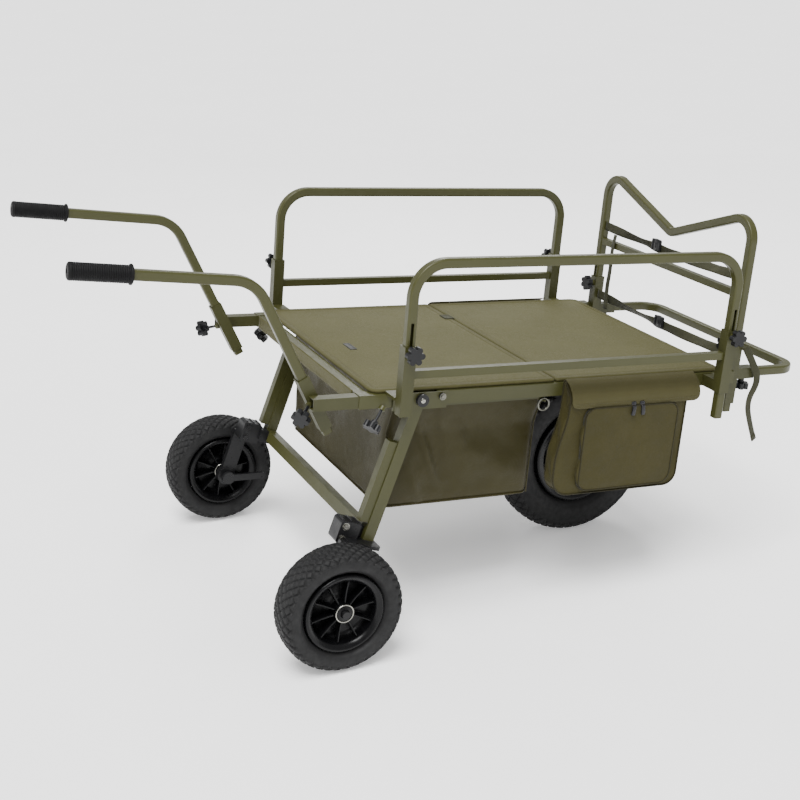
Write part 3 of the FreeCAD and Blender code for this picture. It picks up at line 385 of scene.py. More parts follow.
def rounded_outline(low, high, radii, inset=0.0, side_steps=24, corner_steps=7):
    """Points of a rectangle with its own radius at each corner, inset evenly.
    Corners run low-low, high-low, high-high, low-high."""
    (u0, v0), (u1, v1) = low, high
    u0, v0, u1, v1 = u0 + inset, v0 + inset, u1 - inset, v1 - inset
    corners = [(u0, v0, 180), (u1, v0, 270), (u1, v1, 0), (u0, v1, 90)]
    loop = []
    for (u, v, start), radius in zip(corners, radii):
        r = max(radius - inset, 0.35)
        r = min(r, (u1 - u0) / 2.0, (v1 - v0) / 2.0)
        cu = u + r if u == u0 else u - r
        cv = v + r if v == v0 else v - r
        for k in range(corner_steps + 1):
            turn = math.radians(start + 90.0 * k / corner_steps)
            loop.append((cu + r * math.cos(turn), cv + r * math.sin(turn)))
    full, count = [], corner_steps + 1
    for c in range(4):
        full += loop[c * count:(c + 1) * count]
        a, b = loop[(c + 1) * count - 1], loop[((c + 1) * count) % len(loop)]
        full += [(a[0] + (b[0] - a[0]) * k / side_steps,
                  a[1] + (b[1] - a[1]) * k / side_steps) for k in range(1, side_steps)]
    return full


def tube(name, path, radius, material, closed=False, **more):
    """A round cord on the chassis, along a list of row-frame points."""
    points, up, steps = [], None, 8
    for point, along in headings(path, closed):
        up = along.orthogonal().normalized() if up is None else (
            up - along * up.dot(along)).normalized()
        side = along.cross(up)
        for s in range(steps):
            turn = 2.0 * math.pi * s / steps
            points.append(point + up * (radius * math.cos(turn))
                          + side * (radius * math.sin(turn)))
    faces = sheet_faces(len(path), steps, closed, True)
    if not closed:
        faces += caps(0, (len(path) - 1) * steps, steps)
    return piece(name, points, faces, "chassis", material, **more)


HALF_SECTION = [(-1, -0.6), (-0.97, -1), (-0.5, -1), (0, -1), (0.5, -1), (0.97, -1),
                (1, -0.6)]
STRAP_SECTION = HALF_SECTION + [(-u, -v) for u, v in HALF_SECTION]


def strip(name, path, sides, wide, thick, body, material, closed=False, **more):
    """A flat strap along a path: sides gives the direction of its width at each point."""
    section = [(u * wide / 2.0, v * thick / 2.0) for u, v in STRAP_SECTION]
    points = []
    for (point, along), width_way in zip(headings(path, closed), sides):
        side = (width_way - along * width_way.dot(along)).normalized()
        face = along.cross(side)
        points += [point + side * u + face * v for u, v in section]
    n = len(section)
    faces = sheet_faces(len(path), n, closed, True)
    if not closed:
        faces += caps(0, (len(path) - 1) * n, n)
    return piece(name, points, faces, body, material, **more)


def stitches(name, path, normal, body, closed=True, pitch=0.0045, long=0.003,
             wide=0.0006, high=0.0005):
    """A row of separate stitches along a path on a face with that normal."""
    points, faces, spare = [], [], 0.0
    ends = list(zip(path, path[1:] + path[:1])) if closed else list(zip(path, path[1:]))
    for a, b in ends:
        run = (b - a).length
        if run < 1e-7:
            continue
        way = (b - a) / run
        side = way.cross(normal).normalized() * wide / 2.0
        at = spare
        while at < run:
            foot, tip = a + way * at, a + way * min(at + long, run + long * 0.5)
            k = len(points)
            rise = normal * high
            points += [foot - side, foot + side, tip + side, tip - side,
                       foot + way * 0.0007 - side * 0.7 + rise,
                       foot + way * 0.0007 + side * 0.7 + rise,
                       tip - way * 0.0007 + side * 0.7 + rise,
                       tip - way * 0.0007 - side * 0.7 + rise]
            faces += [(k, k + 1, k + 5, k + 4), (k + 1, k + 2, k + 6, k + 5),
                      (k + 2, k + 3, k + 7, k + 6), (k + 3, k, k + 4, k + 7),
                      (k + 4, k + 5, k + 6, k + 7), (k + 3, k + 2, k + 1, k)]
            at += pitch
        spare = at - run
    return piece(name, points, faces, body, thread)


def wrinkle(x, y, z, scale, seed=0.0):
    """Smooth signed noise at a bed point."""
    return noise.noise(Vector((x * scale + seed, y * scale - seed, z * scale + seed * 2)))


def middle(node):
    """The middle of a CAD node's box."""
    low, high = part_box(node)
    return (low + high) / 2.0


# ---------------------------------------------------------- frame materials
for label, thing in NODES.items():
    if "knob" in label or label.endswith("buckle"):
        finish = knob_plastic
    elif label.startswith(("wheel_bracket", "release_lever")):
        finish = casting
    elif label.startswith("d_ring") or label == "front_axle":
        finish = dull_steel
    elif label == "leg_pivot_bolts":
        finish = black_steel
    elif label.startswith(("end_sleeve", "rail_sleeves", "carrier", "rail_brackets")):
        finish = paint_dark
    else:
        finish = paint
    thing.data.materials.clear()
    thing.data.materials.append(finish)

# -------------------------------------------------------------------- wheels
AXLE = Vector((0.0, 1.0, 0.0))
GROOVE_HALF, GROOVE_SLOPE, GROOVE_DEEP = 0.0015, 0.0018, 0.0040
SIDE_STEP = 0.0022


def build_tyre(name, node, rim_node, body, pitch):
    """A foam-filled tyre: superelliptic section with a raised diamond tread."""
    low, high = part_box(node)
    centre = (low + high) / 2.0
    outer, wide = (high.z - low.z) / 2.0, high.y - low.y
    rim_low, rim_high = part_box(rim_node)
    inner = (rim_high.z - rim_low.z) / 2.0 + 0.0003
    mid, half = (outer + inner) / 2.0, (outer - inner) / 2.0
    around = int(2.0 * math.pi * outer / 0.00185)
    blocks = round(2.0 * math.pi * outer / pitch)
    tread_half = wide * 0.57
    power, fine = 0.74, 500
    curve, total = [], 0.0
    for j in range(fine + 1):
        turn = math.pi * j / fine
        c = math.copysign(abs(math.cos(turn)) ** power, math.cos(turn))
        s = math.sin(turn) ** (power if turn < math.pi / 2.0 else 0.52)
        if curve:
            total += math.hypot((c - curve[-1][0]) * half, (s - curve[-1][1]) * wide / 2.0)
        curve.append((c, s, total))
    stops, reach = [], 0.0
    while reach < total - 0.003:
        stops.append(reach)
        reach += 0.0018 if reach < tread_half + 0.003 else 0.0042
    stops.append(total)
    column = []
    for reach in stops:
        spot = min(curve, key=lambda item: abs(item[2] - reach))
        column.append((spot[0], spot[1], reach))
    column += [(c, -s, -reach) for c, s, reach in reversed(column[1:-1])]
    across = len(column)
    points = []
    for i in range(around):
        turn = 2.0 * math.pi * i / around
        spoke = Vector((math.cos(turn), 0.0, math.sin(turn)))
        for c, s, arc in column:
            reach, sink = abs(arc), 0.0
            if reach < tread_half:
                u = blocks * i / around + arc / pitch
                v = blocks * i / around - arc / pitch
                gap = min(abs(u - round(u)), abs(v - round(v))) * pitch
                groove = 1.0 - min(1.0, max(0.0, (gap - GROOVE_HALF) / GROOVE_SLOPE))
                fade = min(1.0, (tread_half - reach) / 0.003)
                sink = GROOVE_DEEP * groove * fade + SIDE_STEP * (1.0 - fade)
            elif c > -0.9:
                sink = SIDE_STEP
            if -0.78 < c < -0.6:
                sink += 0.0012 * math.sin((c + 0.78) / 0.18 * math.pi)
            way = (spoke * (c * abs(c) ** 0.4) + AXLE * (s * abs(s) ** 0.4)).normalized()
            points.append(centre + spoke * (mid + half * c) + AXLE * (s * wide / 2.0)
                          - way * sink)
    piece(name, points, sheet_faces(around, across, True, True), body, rubber,
          "tyre_foam", (node,))


def build_rim(name, node, body, ribs=10):
    """A moulded rim: stepped lip, dished web, thin ribs and a plain bright hub ring."""
    low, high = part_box(node)
    centre = (low + high) / 2.0
    outer, half = (high.z - low.z) / 2.0, (high.y - low.y) / 2.0
    dish, hub = outer * 0.8, 0.0195
    bore = 0.0083
    lip = [(outer, half - 0.0035), (outer - 0.002, half - 0.0008),
           (outer - 0.005, half), (outer - 0.0075, half - 0.0012),
           (dish + 0.006, half - 0.0035), (dish + 0.003, half - 0.0055),
           (dish + 0.0008, half - 0.010), (dish - 0.001, half * 0.45),
           (dish - 0.006, 0.007), (dish - 0.012, 0.0042), (hub + 0.016, 0.0032),
           (hub + 0.004, 0.005), (hub + 0.001, 0.009), (hub, half * 0.72),
           (hub - 0.002, half * 0.84), (hub - 0.005, half * 0.86),
           (bore + 0.002, half * 0.86), (bore, half * 0.82)]
    profile = lip + [(r, -a) for r, a in reversed(lip)]
    turned(name, profile, centre, AXLE, 120, body, rim_plastic, "rim_plastic", (node,))
    points, faces = [], []
    for k in range(ribs):
        turn = 2.0 * math.pi * k / ribs + 0.14
        spoke = Vector((math.cos(turn), 0.0, math.sin(turn)))
        side = spoke.cross(AXLE)
        start = len(points)
        steps = 13
        for m in range(steps):
            t = m / (steps - 1)
            radius = hub - 0.002 + (dish - hub + 0.003) * t
            tall = half * (0.72 - 0.06 * math.sin(math.pi * t))
            edge = [(tall, 0.0010), (tall - 0.0007, 0.0015), (0.0, 0.0020),
                    (-tall + 0.0007, 0.0015), (-tall, 0.0010)]
            for a, w in edge + [(a, -w) for a, w in reversed(edge)]:
                points.append(centre + spoke * radius + AXLE * a + side * w)
        faces += sheet_faces(steps, 10, False, True, start)
        faces += caps(start, start + (steps - 1) * 10, 10)
    piece(name + "_ribs", points, faces, body, rim_plastic, "rim_plastic")
    ring = [(0.0200, 0.0), (0.0200, 0.0016), (0.0192, 0.0024), (0.0178, 0.0024),
            (0.0170, 0.0016), (0.0170, 0.0)]
    cap = [(0.0165, -0.0005), (0.0165, 0.0012), (0.0158, 0.0018), (0.0125, 0.0014),
           (0.0115, 0.0022), (0.0102, 0.0026), (0.0086, 0.0026), (0.0086, -0.0005)]
    for tag, way in SIDES:
        seat = centre + AXLE * (way * half * 0.855)
        turned(name + "_hub_ring_" + tag, ring, seat, AXLE * way, 72, body, steel,
               "plated_steel")
        turned(name + "_hub_cap_" + tag, cap, seat, AXLE * way, 60, body, rim_plastic,
               "rim_plastic")


for side in ("left", "right"):
    wheel = "rear_wheel_" + side
    build_tyre("tyre_rear_" + side, "rear_tyre_" + side, "rear_rim_" + side, wheel,
               0.0220)
    build_rim("rim_rear_" + side, "rear_rim_" + side, wheel)
build_tyre("tyre_front", "front_tyre", "front_rim", "front_wheel", 0.0255)
build_rim("rim_front", "front_rim", "front_wheel", 12)

# --------------------------------------------------------------------- grips
RISE = math.radians(4.5)
BACK = deck_way(-math.cos(RISE), 0.0, math.sin(RISE))
for side, way in SIDES:
    node = "grip_" + side
    spots = [v.co for v in NODES[node].data.vertices]
    along = [p.dot(BACK) for p in spots]
    start, end = min(along), max(along)
    across = BACK.cross(AXLE).normalized()
    level = [p.dot(across) for p in spots]
    centre = AXLE * middle(node).y + across * ((min(level) + max(level)) / 2.0)
    long = end - start
    profile = [(0.0102, 0.0), (0.0178, 0.0), (0.0193, 0.0012), (0.0195, 0.0025),
               (0.0192, 0.0040), (0.0178, 0.0052), (0.0159, 0.0060)]
    at = 0.0075
    while at < long - 0.0085:
        profile += [(0.0157, at), (0.0169, at + 0.0009), (0.0171, at + 0.0019),
                    (0.0167, at + 0.0027), (0.0157, at + 0.0033)]
        at += 0.0041
    profile += [(0.0168, long - 0.0068), (0.0171, long - 0.005), (0.0164, long - 0.0022),
                (0.0142, long - 0.0006), (0.0100, long), (0.0045, long - 0.0003),
                (0.0036, long - 0.0013), (0.0004, long - 0.0015)]
    inside = [(0.0004, long - 0.012), (0.0102, long - 0.014)]
    turned("ribbed_grip_" + side, profile + inside, centre + BACK * start, BACK, 64,
           "handle_" + side, grip_rubber, "grip_rubber", (node,))

# ---------------------------------------------------------------------- lids
LID_TOP, LID_THICK, LID_HALF = -49.7, 7.0, 307.0


def build_lid(name, node, rear, front, radii):
    """A covered board: soft crown, bound edge and a stitched seam inside it."""
    profile = [(1.6, -LID_THICK), (0.4, -LID_THICK + 1.2), (0.0, -4.2), (0.3, -1.9),
               (1.3, -0.6), (3.0, 0.1), (6.0, 0.25), (12.0, 0.25), (15.2, 0.2),
               (16.0, -0.1), (16.6, -0.45), (17.6, -0.35), (19.0, -0.1), (24.0, 0.1),
               (34.0, 0.35), (50.0, 0.55), (70.0, 0.7), (95.0, 0.8), (120.0, 0.85),
               (150.0, 0.9), (180.0, 0.9), (205.0, 0.9)]
    deepest = (front - rear) / 2.0 - 1.0
    profile = [p for p in profile if p[0] < deepest] + [(deepest, 0.9)]
    points = []
    for inset, height in profile:
        loop = rounded_outline((rear, -LID_HALF), (front, LID_HALF), radii, inset, 40, 6)
        for u, v in loop:
            rise = height
            if inset > 24.0:
                rise += 0.7 * wrinkle(u, v, 0.0, 0.009, 3.0) + 0.25 * wrinkle(
                    u, v, 0.0, 0.03, 8.0)
            points.append(deck(u, v, LID_TOP + rise))
    count = len(loop)
    faces = sheet_faces(len(profile), count, False, True)
    bound = len([f for f in faces if f[0] < 9 * count])
    faces.append(tuple(reversed(range(count))))
    top = (len(profile) - 1) * count
    faces += bridge(top, count, 3 + 20)
    made = piece(name, points, faces, node, lid_cloth, "deck_fabric", (node,))
    made.data.materials.append(lid_binding)
    for k in range(bound):
        made.data.polygons[k].material_index = 1
    up = deck_way(0, 0, 1)
    for inset in (3.6, 14.2):
        loop = rounded_outline((rear, -LID_HALF), (front, LID_HALF), radii, inset, 40, 6)
        stitches("%s_stitching_%d" % (name, round(inset)),
                 [deck(u, v, LID_TOP + 0.15) for u, v in loop], up, node)
    return made


build_lid("deck_lid_rear", "lid_rear", -565.0, -141.0, (22.0, 7.0, 7.0, 22.0))
build_lid("deck_lid_front", "lid_front", -139.0, 291.0, (7.0, 22.0, 22.0, 7.0))


def raised_patch(name, place, wide, long, radius, high, material, slot):
    """A thin rounded patch on the rear lid, with a raised rim and a sunken middle."""
    x, y, z = place
    profile = [(0.0, -0.2), (0.2, high * 0.6), (0.8, high), (2.4, high), (3.2, high * 0.6),
               (min(wide, long) / 2.0 - 0.6, high * 0.55)]
    points = []
    for inset, height in profile:
        loop = rounded_outline((x - wide / 2.0, y - long / 2.0),
                               (x + wide / 2.0, y + long / 2.0), (radius,) * 4, inset, 8, 5)
        points += [deck(u, v, z + height) for u, v in loop]
    count = len(loop)
    faces = sheet_faces(len(profile), count, False, True)
    faces += caps(0, (len(profile) - 1) * count, count)
    return piece(name, points, faces, "lid_rear", material, slot)


raised_patch("blank_patch", (-487.0, -15.0, LID_TOP + 0.6), 17.0, 46.0, 3.0, 1.5,
             patch_plastic, "deck_fabric")
raised_patch("pull_tab", (-150.0, 182.0, LID_TOP + 0.9), 26.0, 34.0, 3.5, 1.4,
             webbing, "webbing")

# hanging hem behind the rear lid
HEM_WIDE, HEM_BACK = 553.0, -591.6
rows, columns = 9, 90
points = []
hem_low, hem_high = -56.7 - 28.0, -57.0
for i in range(rows):
    t = i / (rows - 1)
    for j in range(columns):
        y = -HEM_WIDE / 2.0 + HEM_WIDE * j / (columns - 1)
        z = hem_high + (hem_low - hem_high) * t + 0.8 * wrinkle(y, 0, 0, 0.012, 5.0) * t
        x = HEM_BACK - 1.4 * abs(wrinkle(y, z, 0, 0.014, 2.0)) * t * 1.6
        points.append(deck(x, y, z))
hem = piece("lid_hem", points, sheet_faces(rows, columns), None, lid_binding,
            "deck_fabric", ("lid_end_flap",))
modifier(hem, "SOLIDIFY", thickness=0.0014, offset=0.0)
settle(hem)
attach(hem, "chassis")
stitches("lid_hem_stitching", [deck(-592.9, -270.0 + 540.0 * k / 40, -79.5)
                               for k in range(41)], deck_way(-1, 0, 0), "chassis", False)

# ----------------------------------------------------------------- slung bag
REAR, FRONT, FOOT, TOP = -502.0, -142.0, -336.0, -92.5
SHOULDER, HALF_TOP, HALF = -165.0, 280.0, 254.0
BAG_CORNERS = (20.0,) * 4


def bag_half(z):
    """Half width of the bag at a height: straight sides drawn out to the beams."""
    if z <= SHOULDER:
        return HALF
    t = (z - SHOULDER) / (TOP - SHOULDER)
    return HALF + (HALF_TOP - HALF) * (t * t * (3 - 2 * t) * 0.35 + t * 0.65)


def bag_point(x, y, z, on_side):
    """A point of the bag's skin, moved by the folds of a side or an end."""
    wide, tall = (x - REAR) / (FRONT - REAR), (z - FOOT) / (TOP - FOOT)
    edge = min(1.0, 5.5 * min(max(wide, 0.0), max(1.0 - wide, 0.0)))
    seated = min(1.0, max(0.0, (tall - 0.04) * 9.0))
    rim = min(1.0, 4.0 * max(0.0, min(tall, 1.0 - tall)))
    if on_side:
        fold = math.sin((x * 0.72 + z * 1.0) * 0.034 + 2.5 * wrinkle(x, 0, z, 0.008, 1.0))
        shape = edge * (0.35 + 0.65 * rim) * seated
        ridge = 1.0 - abs(wrinkle(x + z * 0.6, 0, z - x * 0.3, 0.012, 13.0)) * 4.0
        move = (-5.5 + 3.4 * fold + 2.6 * wrinkle(x, 0, z, 0.012, 4.0)
                + 2.0 * wrinkle(x, 0, z, 0.034, 9.0) + 2.4 * max(0.0, ridge)) * shape
        near = math.exp(-((wide - 0.26) / 0.09) ** 2)
        move -= 11.0 * near * rim * max(0.0, math.sin((x + z * 0.45) * 0.11))
        return x, y + math.copysign(min(move, 1.5), y), z
    across = min(1.0, 4.0 * max(0.0, 1.0 - abs(y) / bag_half(z)))
    fold = math.sin(y * 0.03 + z * 0.02 + 2.2 * wrinkle(y, 0, z, 0.008, 6.0))
    move = (-5.0 + 4.5 * fold + 7.0 * wrinkle(y, 0, z, 0.012, 7.0)
            + 3.0 * wrinkle(y, 0, z, 0.03, 2.0)) * across * seated * (0.3 + 0.7 * rim)
    sign = 1.0 if x > (REAR + FRONT) / 2.0 else -1.0
    return x + sign * min(move, 1.5), y, z


def bag_skin():
    """Rings of the bag's sides and ends, from foot to top."""
    rings = []
    levels = [0.0, 0.02, 0.05] + [k / 30.0 for k in range(3, 30)] + [0.985, 1.0]
    for t in levels:
        z = FOOT + (TOP - FOOT) * t
        round_in = 14.0 * (1.0 - min(1.0, t / 0.06)) ** 2
        half = bag_half(z) - round_in
        loop = rounded_outline((REAR + round_in, -half), (FRONT - round_in, half),
                               BAG_CORNERS, 0.0, 44, 6)
        ring = []
        for u, v in loop:
            on_side = abs(v) > half - 0.5 or abs(v) / half > abs(u + 322.0) / 180.0
            bare = t in (0.0, 1.0)
            ring.append(deck(*((u, v, z) if bare else bag_point(u, v, z, on_side))))
        rings.append(ring)
    return rings


rings = bag_skin()
count = len(rings[0])
points = [p for ring in rings for p in ring]
faces = sheet_faces(len(rings), count, False, True)
# bottom: rings drawn in to the middle
base = len(points)
insets = [4.0, 12.0, 30.0, 55.0, 80.0, 110.0, 140.0, 160.0]
for inset in insets:
    loop = rounded_outline((REAR + 14.0, -HALF + 14.0), (FRONT - 14.0, HALF - 14.0),
                           BAG_CORNERS, inset, 44, 6)
    for u, v in loop:
        rise = 2.5 * wrinkle(u, v, 0, 0.013, 3.0) + 1.8
        points.append(deck(u, v, FOOT + min(1.0, inset / 30.0) * rise))
faces += [(a + k, a + (k + 1) % count, b + (k + 1) % count, b + k)
          for a, b in [(0, base)] + [(base + m * count, base + (m + 1) * count)
                                     for m in range(len(insets) - 1)]
          for k in range(count)]
last = base + (len(insets) - 1) * count
faces += bridge(last, count, 3 + 22)
bag = piece("slung_bag", points, faces, None, bag_cloth, "bag_fabric", ("under_bag",))
bag.data.materials.append(bag_lining)
modifier(bag, "SOLIDIFY", thickness=0.0022, offset=-1.0, use_even_offset=False,
         material_offset=1)
modifier(bag, "SUBSURF", levels=1)
settle(bag)
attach(bag, "chassis")


def ring_path(z, half, rear, front):
    """A level line round the bag."""
    loop = rounded_outline((rear, -half), (front, half), BAG_CORNERS, 0.0, 40, 6)
    return [deck(u, v, z) for u, v in loop]


tube("bag_foot_piping", ring_path(FOOT + 9.0, HALF - 1.5, REAR + 1.5, FRONT - 1.5),
     0.0021, bag_cloth, True, slot="bag_fabric")
tube("bag_top_binding", ring_path(TOP - 3.5, HALF_TOP - 0.3, REAR + 0.3, FRONT - 0.3),
     0.0027, bag_cloth, True, slot="bag_fabric")
for x, tag in ((REAR + 5.0, "rear"), (FRONT - 5.0, "front")):
    for side, way in SIDES:
        path = []
        for k in range(26):
            z = FOOT + 9.0 + (TOP - 6.0 - FOOT - 9.0) * k / 25.0
            path.append(deck(x + 1.2 * wrinkle(x, way * 9, z, 0.02, 2.0),
                             way * (bag_half(z) - 3.8), z))
        tube("bag_seam_%s_%s" % (tag, side), path, 0.0018, bag_cloth, slot="bag_fabric")


# -------------------------------------------------------------- side pockets
def pocket_block(name, low, high, radii, near, far, crown, way, replaced, pinch, folds,
                 seed, taper=None):
    """A sewn block standing out along Y: gusset from near to far, crowned face."""
    points, profile = [], []
    depth = far - near
    for k in range(7):
        t = k / 6.0
        profile.append((pinch * math.sin(math.pi * t), near + depth * t, "gusset"))
    deepest = min(high[0] - low[0], high[1] - low[1]) / 2.0 - 1.0
    inset = 1.5
    while inset < deepest:
        t = inset / deepest
        profile.append((inset, far + crown * (1.0 - (1.0 - t) ** 2.4), "face"))
        inset += 3.0 + inset * 0.16
    profile.append((deepest, far + crown, "face"))
    for inset, y, part in profile:
        loop = rounded_outline(low, high, radii, inset, 30, 8)
        for u, v in loop:
            out = y
            if part == "face":
                fade = min(1.0, inset / 14.0)
                out += folds * fade * (1.4 * wrinkle(u, seed, v, 0.016, seed)
                                       + 0.7 * wrinkle(u, seed, v, 0.045, seed + 4.0))
            elif 0.1 < (y - near) / max(depth, 1.0) < 0.9:
                pull = folds * (1.2 * wrinkle(u, y, v, 0.05, seed + 2.0)
                                + 1.6 * (1.0 + math.sin(v * 0.075 + y * 0.11)))
                cu, cv = (low[0] + high[0]) / 2.0, (low[1] + high[1]) / 2.0
                span = math.hypot(u - cu, v - cv)
                u, v = u - pull * abs(u - cu) / span * 0.8, v - pull * (v - cv) / span * 0.8
            if taper:
                u, out = taper(u, v, out)
            points.append(deck(u, way * out, v))
    count = len(loop)
    faces = sheet_faces(len(profile), count, False, True)
    faces.append(tuple(reversed(range(count))))
    top = (len(profile) - 1) * count
    upright = high[0] - low[0] < high[1] - low[1]
    faces += bridge(top, count, 4 + 15 if upright else 4 + 15 + 9 + 29)
    if way < 0:
        faces = [tuple(reversed(f)) for f in faces]
    return piece(name, points, faces, "chassis", pocket_cloth, "pocket_fabric", replaced)


def pocket_taper(u, v, out):
    """The rear edge leans forward towards the top, and above the fold the body
    leans in to the beam."""
    rear = max(0.0, 1.0 - (u + 146.0) / 110.0)
    rise = min(1.0, max(0.0, (v + 225.0) / 120.0))
    u += 21.0 * rear * rise * rise * (3.0 - 2.0 * rise)
    if v > -84.0:
        out = min(out, 352.0 - (v + 84.0) / 36.0 * 33.0)
    return u, out


PANEL_LOW, PANEL_HIGH, PANEL_CORNERS = (-88.0, -290.0), (150.0, -102.0), (26.0,) * 4
ZIP_OUT, ZIP_LEVEL = 352.6, -100.5
FLAP_REAR, FLAP_WIDE, FLAP_ROUND, FLAP_TURN = -123.0, 328.0, 15.0, -88.0


def panel_line(inset, out, way):
    """A line round the pocket's raised panel at that inset and distance out."""
    loop = rounded_outline(PANEL_LOW, PANEL_HIGH, PANEL_CORNERS, inset, 30, 8)
    return [deck(u, way * out, v) for u, v in loop]


def pocket_line(loop, y, way):
    """A line round the pocket at that distance out, following its lean."""
    spots = [(pocket_taper(u, v, y), v) for u, v in loop]
    return [deck(u, way * out, v) for (u, out), v in spots]


for side, way in SIDES:
    low, high = (-146.0, -299.0), (174.0, -52.0)
    radii = (42.0, 30.0, 3.0, 3.0)
    pocket_block("pocket_body_" + side, low, high, radii, 314.6, 349.0, 2.2, way,
                 ("side_pocket_" + side,), 2.4, 2.2, 1.0 + way, pocket_taper)
    for y, tag in ((349.6, "outer"), (317.0, "inner")):
        path = pocket_line(rounded_outline(low, high, radii, 0.2, 30, 8), y, way)
        tube("pocket_piping_%s_%s" % (tag, side), path, 0.0019, pocket_trim_and_seam_shade, True,
             slot="pocket_fabric")
    pocket_block("pocket_panel_" + side, PANEL_LOW, PANEL_HIGH, PANEL_CORNERS, 348.5,
                 358.6, 1.8, way, (), 0.6, 1.7, 6.0 + way)
    path = panel_line(-0.3, ZIP_OUT, way)
    strip("pocket_zip_tape_" + side, path, [deck_way(0, 1, 0)] * len(path), 0.0062,
          0.0009, "chassis", zip_tape, True, slot="pocket_fabric")
    tube("pocket_panel_piping_" + side, panel_line(1.3, 358.4, way), 0.0016,
         pocket_trim_and_seam_shade, True, slot="pocket_fabric")
    stitches("pocket_zip_teeth_" + side, panel_line(-0.9, ZIP_OUT, way),
             deck_way(0, way, 0), "chassis", True, 0.0021, 0.0012, 0.0028, 0.0012)
    for offset, tag in ((31.0, "rear"), (53.0, "front")):
        # slider body and its hanging pull
        points = []
        slider = [(-6.2, 0.4), (-5.4, 3.0), (-2.0, 4.4), (2.0, 4.4), (5.4, 3.0), (6.2, 0.4)]
        for dz, scale in ((-6.5, 0.7), (-4.5, 1.0), (0.0, 1.05), (4.0, 1.0), (6.0, 0.7)):
            for u, rise in slider:
                points.append(deck(offset + u * scale, way * (355.4 + rise * scale),
                                   ZIP_LEVEL + dz))
        faces = sheet_faces(5, 6)
        faces += [tuple(range(6)), tuple(reversed(range(24, 30)))]
        piece("zip_slider_%s_%s" % (tag, side), points, faces, "chassis", zip_metal,
              "knob_plastic")
        path, ways = [], []
        for k in range(14):
            t = k / 13.0
            path.append(deck(offset + 2.0 * (1 if tag == "front" else -1) * t,
                             way * (360.4 + 1.6 * math.sin(t * 2.6)), -103.0 - 21.0 * t))
            ways.append(deck_way(1, 0, 0.1))
        strip("zip_pull_%s_%s" % (tag, side), path, ways, 0.0085, 0.0030, "chassis",
              zip_metal, slot="knob_plastic")
    # flap: a cloth sheet folded over the top edge of the pocket, in a lighter copy of the
    # pocket's cloth, which is painted light
    rows, columns = 30, 70
    route = [(317.0, -48.6), (326.0, -51.5), (335.5, -56.5), (344.0, -64.0),
             (350.5, -73.0), (354.0, -82.5), (355.2, -92.0), (355.4, -103.0)]
    points = []
    for i in range(rows):
        s = i / (rows - 1) * (len(route) - 1)
        k = min(int(s), len(route) - 2)
        f = s - k
        y0 = route[k][0] + (route[k + 1][0] - route[k][0]) * f
        z0 = route[k][1] + (route[k + 1][1] - route[k][1]) * f
        for j in range(columns):
            t = i / (rows - 1)
            fall = max(0.0, FLAP_TURN - z0)
            trim = FLAP_ROUND - math.sqrt(max(0.0, FLAP_ROUND ** 2 - fall ** 2))
            u = FLAP_REAR + trim + (FLAP_WIDE - 2.0 * trim) * j / (columns - 1)
            ripple = 1.1 * wrinkle(u, 0, z0, 0.02, 3.0 + way) * t
            sway = 0.9 * wrinkle(u, 5.0, z0, 0.05, 2.0) * t
            points.append(deck(u, way * (y0 + ripple + sway * 0.6), z0 + sway * 0.4))
    faces = sheet_faces(rows, columns)
    if way > 0:
        faces = [tuple(reversed(f)) for f in faces]
    flap = piece("pocket_flap_" + side, points, faces, None, flap_cloth_painted_light,
                 "pocket_fabric")
    modifier(flap, "SOLIDIFY", thickness=0.0018, offset=0.0)
    modifier(flap, "BEVEL", width=0.0006, segments=2, limit_method="ANGLE")
    settle(flap)
    flap.data.shade_smooth()
    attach(flap, "chassis")
    for level, tag in ((-99.8, "low"), (-93.5, "high")):
        stitches("flap_stitching_%s_%s" % (tag, side),
                 [deck(-112.0 + 306.0 * k / 60, way * 357.2, level) for k in range(61)],
                 deck_way(0, way, 0), "chassis", False)


# ------------------------------------------------------- webbing and buckles
def build_strap(name, node, level, sag, twist, body, buckle_at):
    """A slack webbing strap, turned in its length, gathered at the posts."""
    low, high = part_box(node)
    reach = high.y * 1000.0 - 0.5
    path, ways = [], []
    steps = 90
    for k in range(steps + 1):
        t = k / steps
        y = -reach + 2.0 * reach * t
        drop = sag * 4.0 * t * (1.0 - t)
        hold = math.exp(-((y - buckle_at) / 38.0) ** 2)
        angle = twist * math.sin(t * math.pi * 2.0 + 0.7) * (1.0 - hold) * (
            min(1.0, 6.0 * min(t, 1.0 - t)))
        path.append(deck(338.0 - 2.2 * math.sin(t * 7.0) * (1.0 - hold), y, level - drop))
        ways.append(deck_way(math.sin(angle), 0.0, math.cos(angle)))
    strip(name, path, ways, 0.022, 0.0018, body, webbing, slot="webbing",
          replaced=(node,))


build_strap("panel_webbing", "upper_strap", 150.0, 7.0, 0.75, "end_panel", 49.0)
build_strap("sleeve_webbing", "lower_strap", -28.0, 6.0, 0.8, "chassis", -4.0)


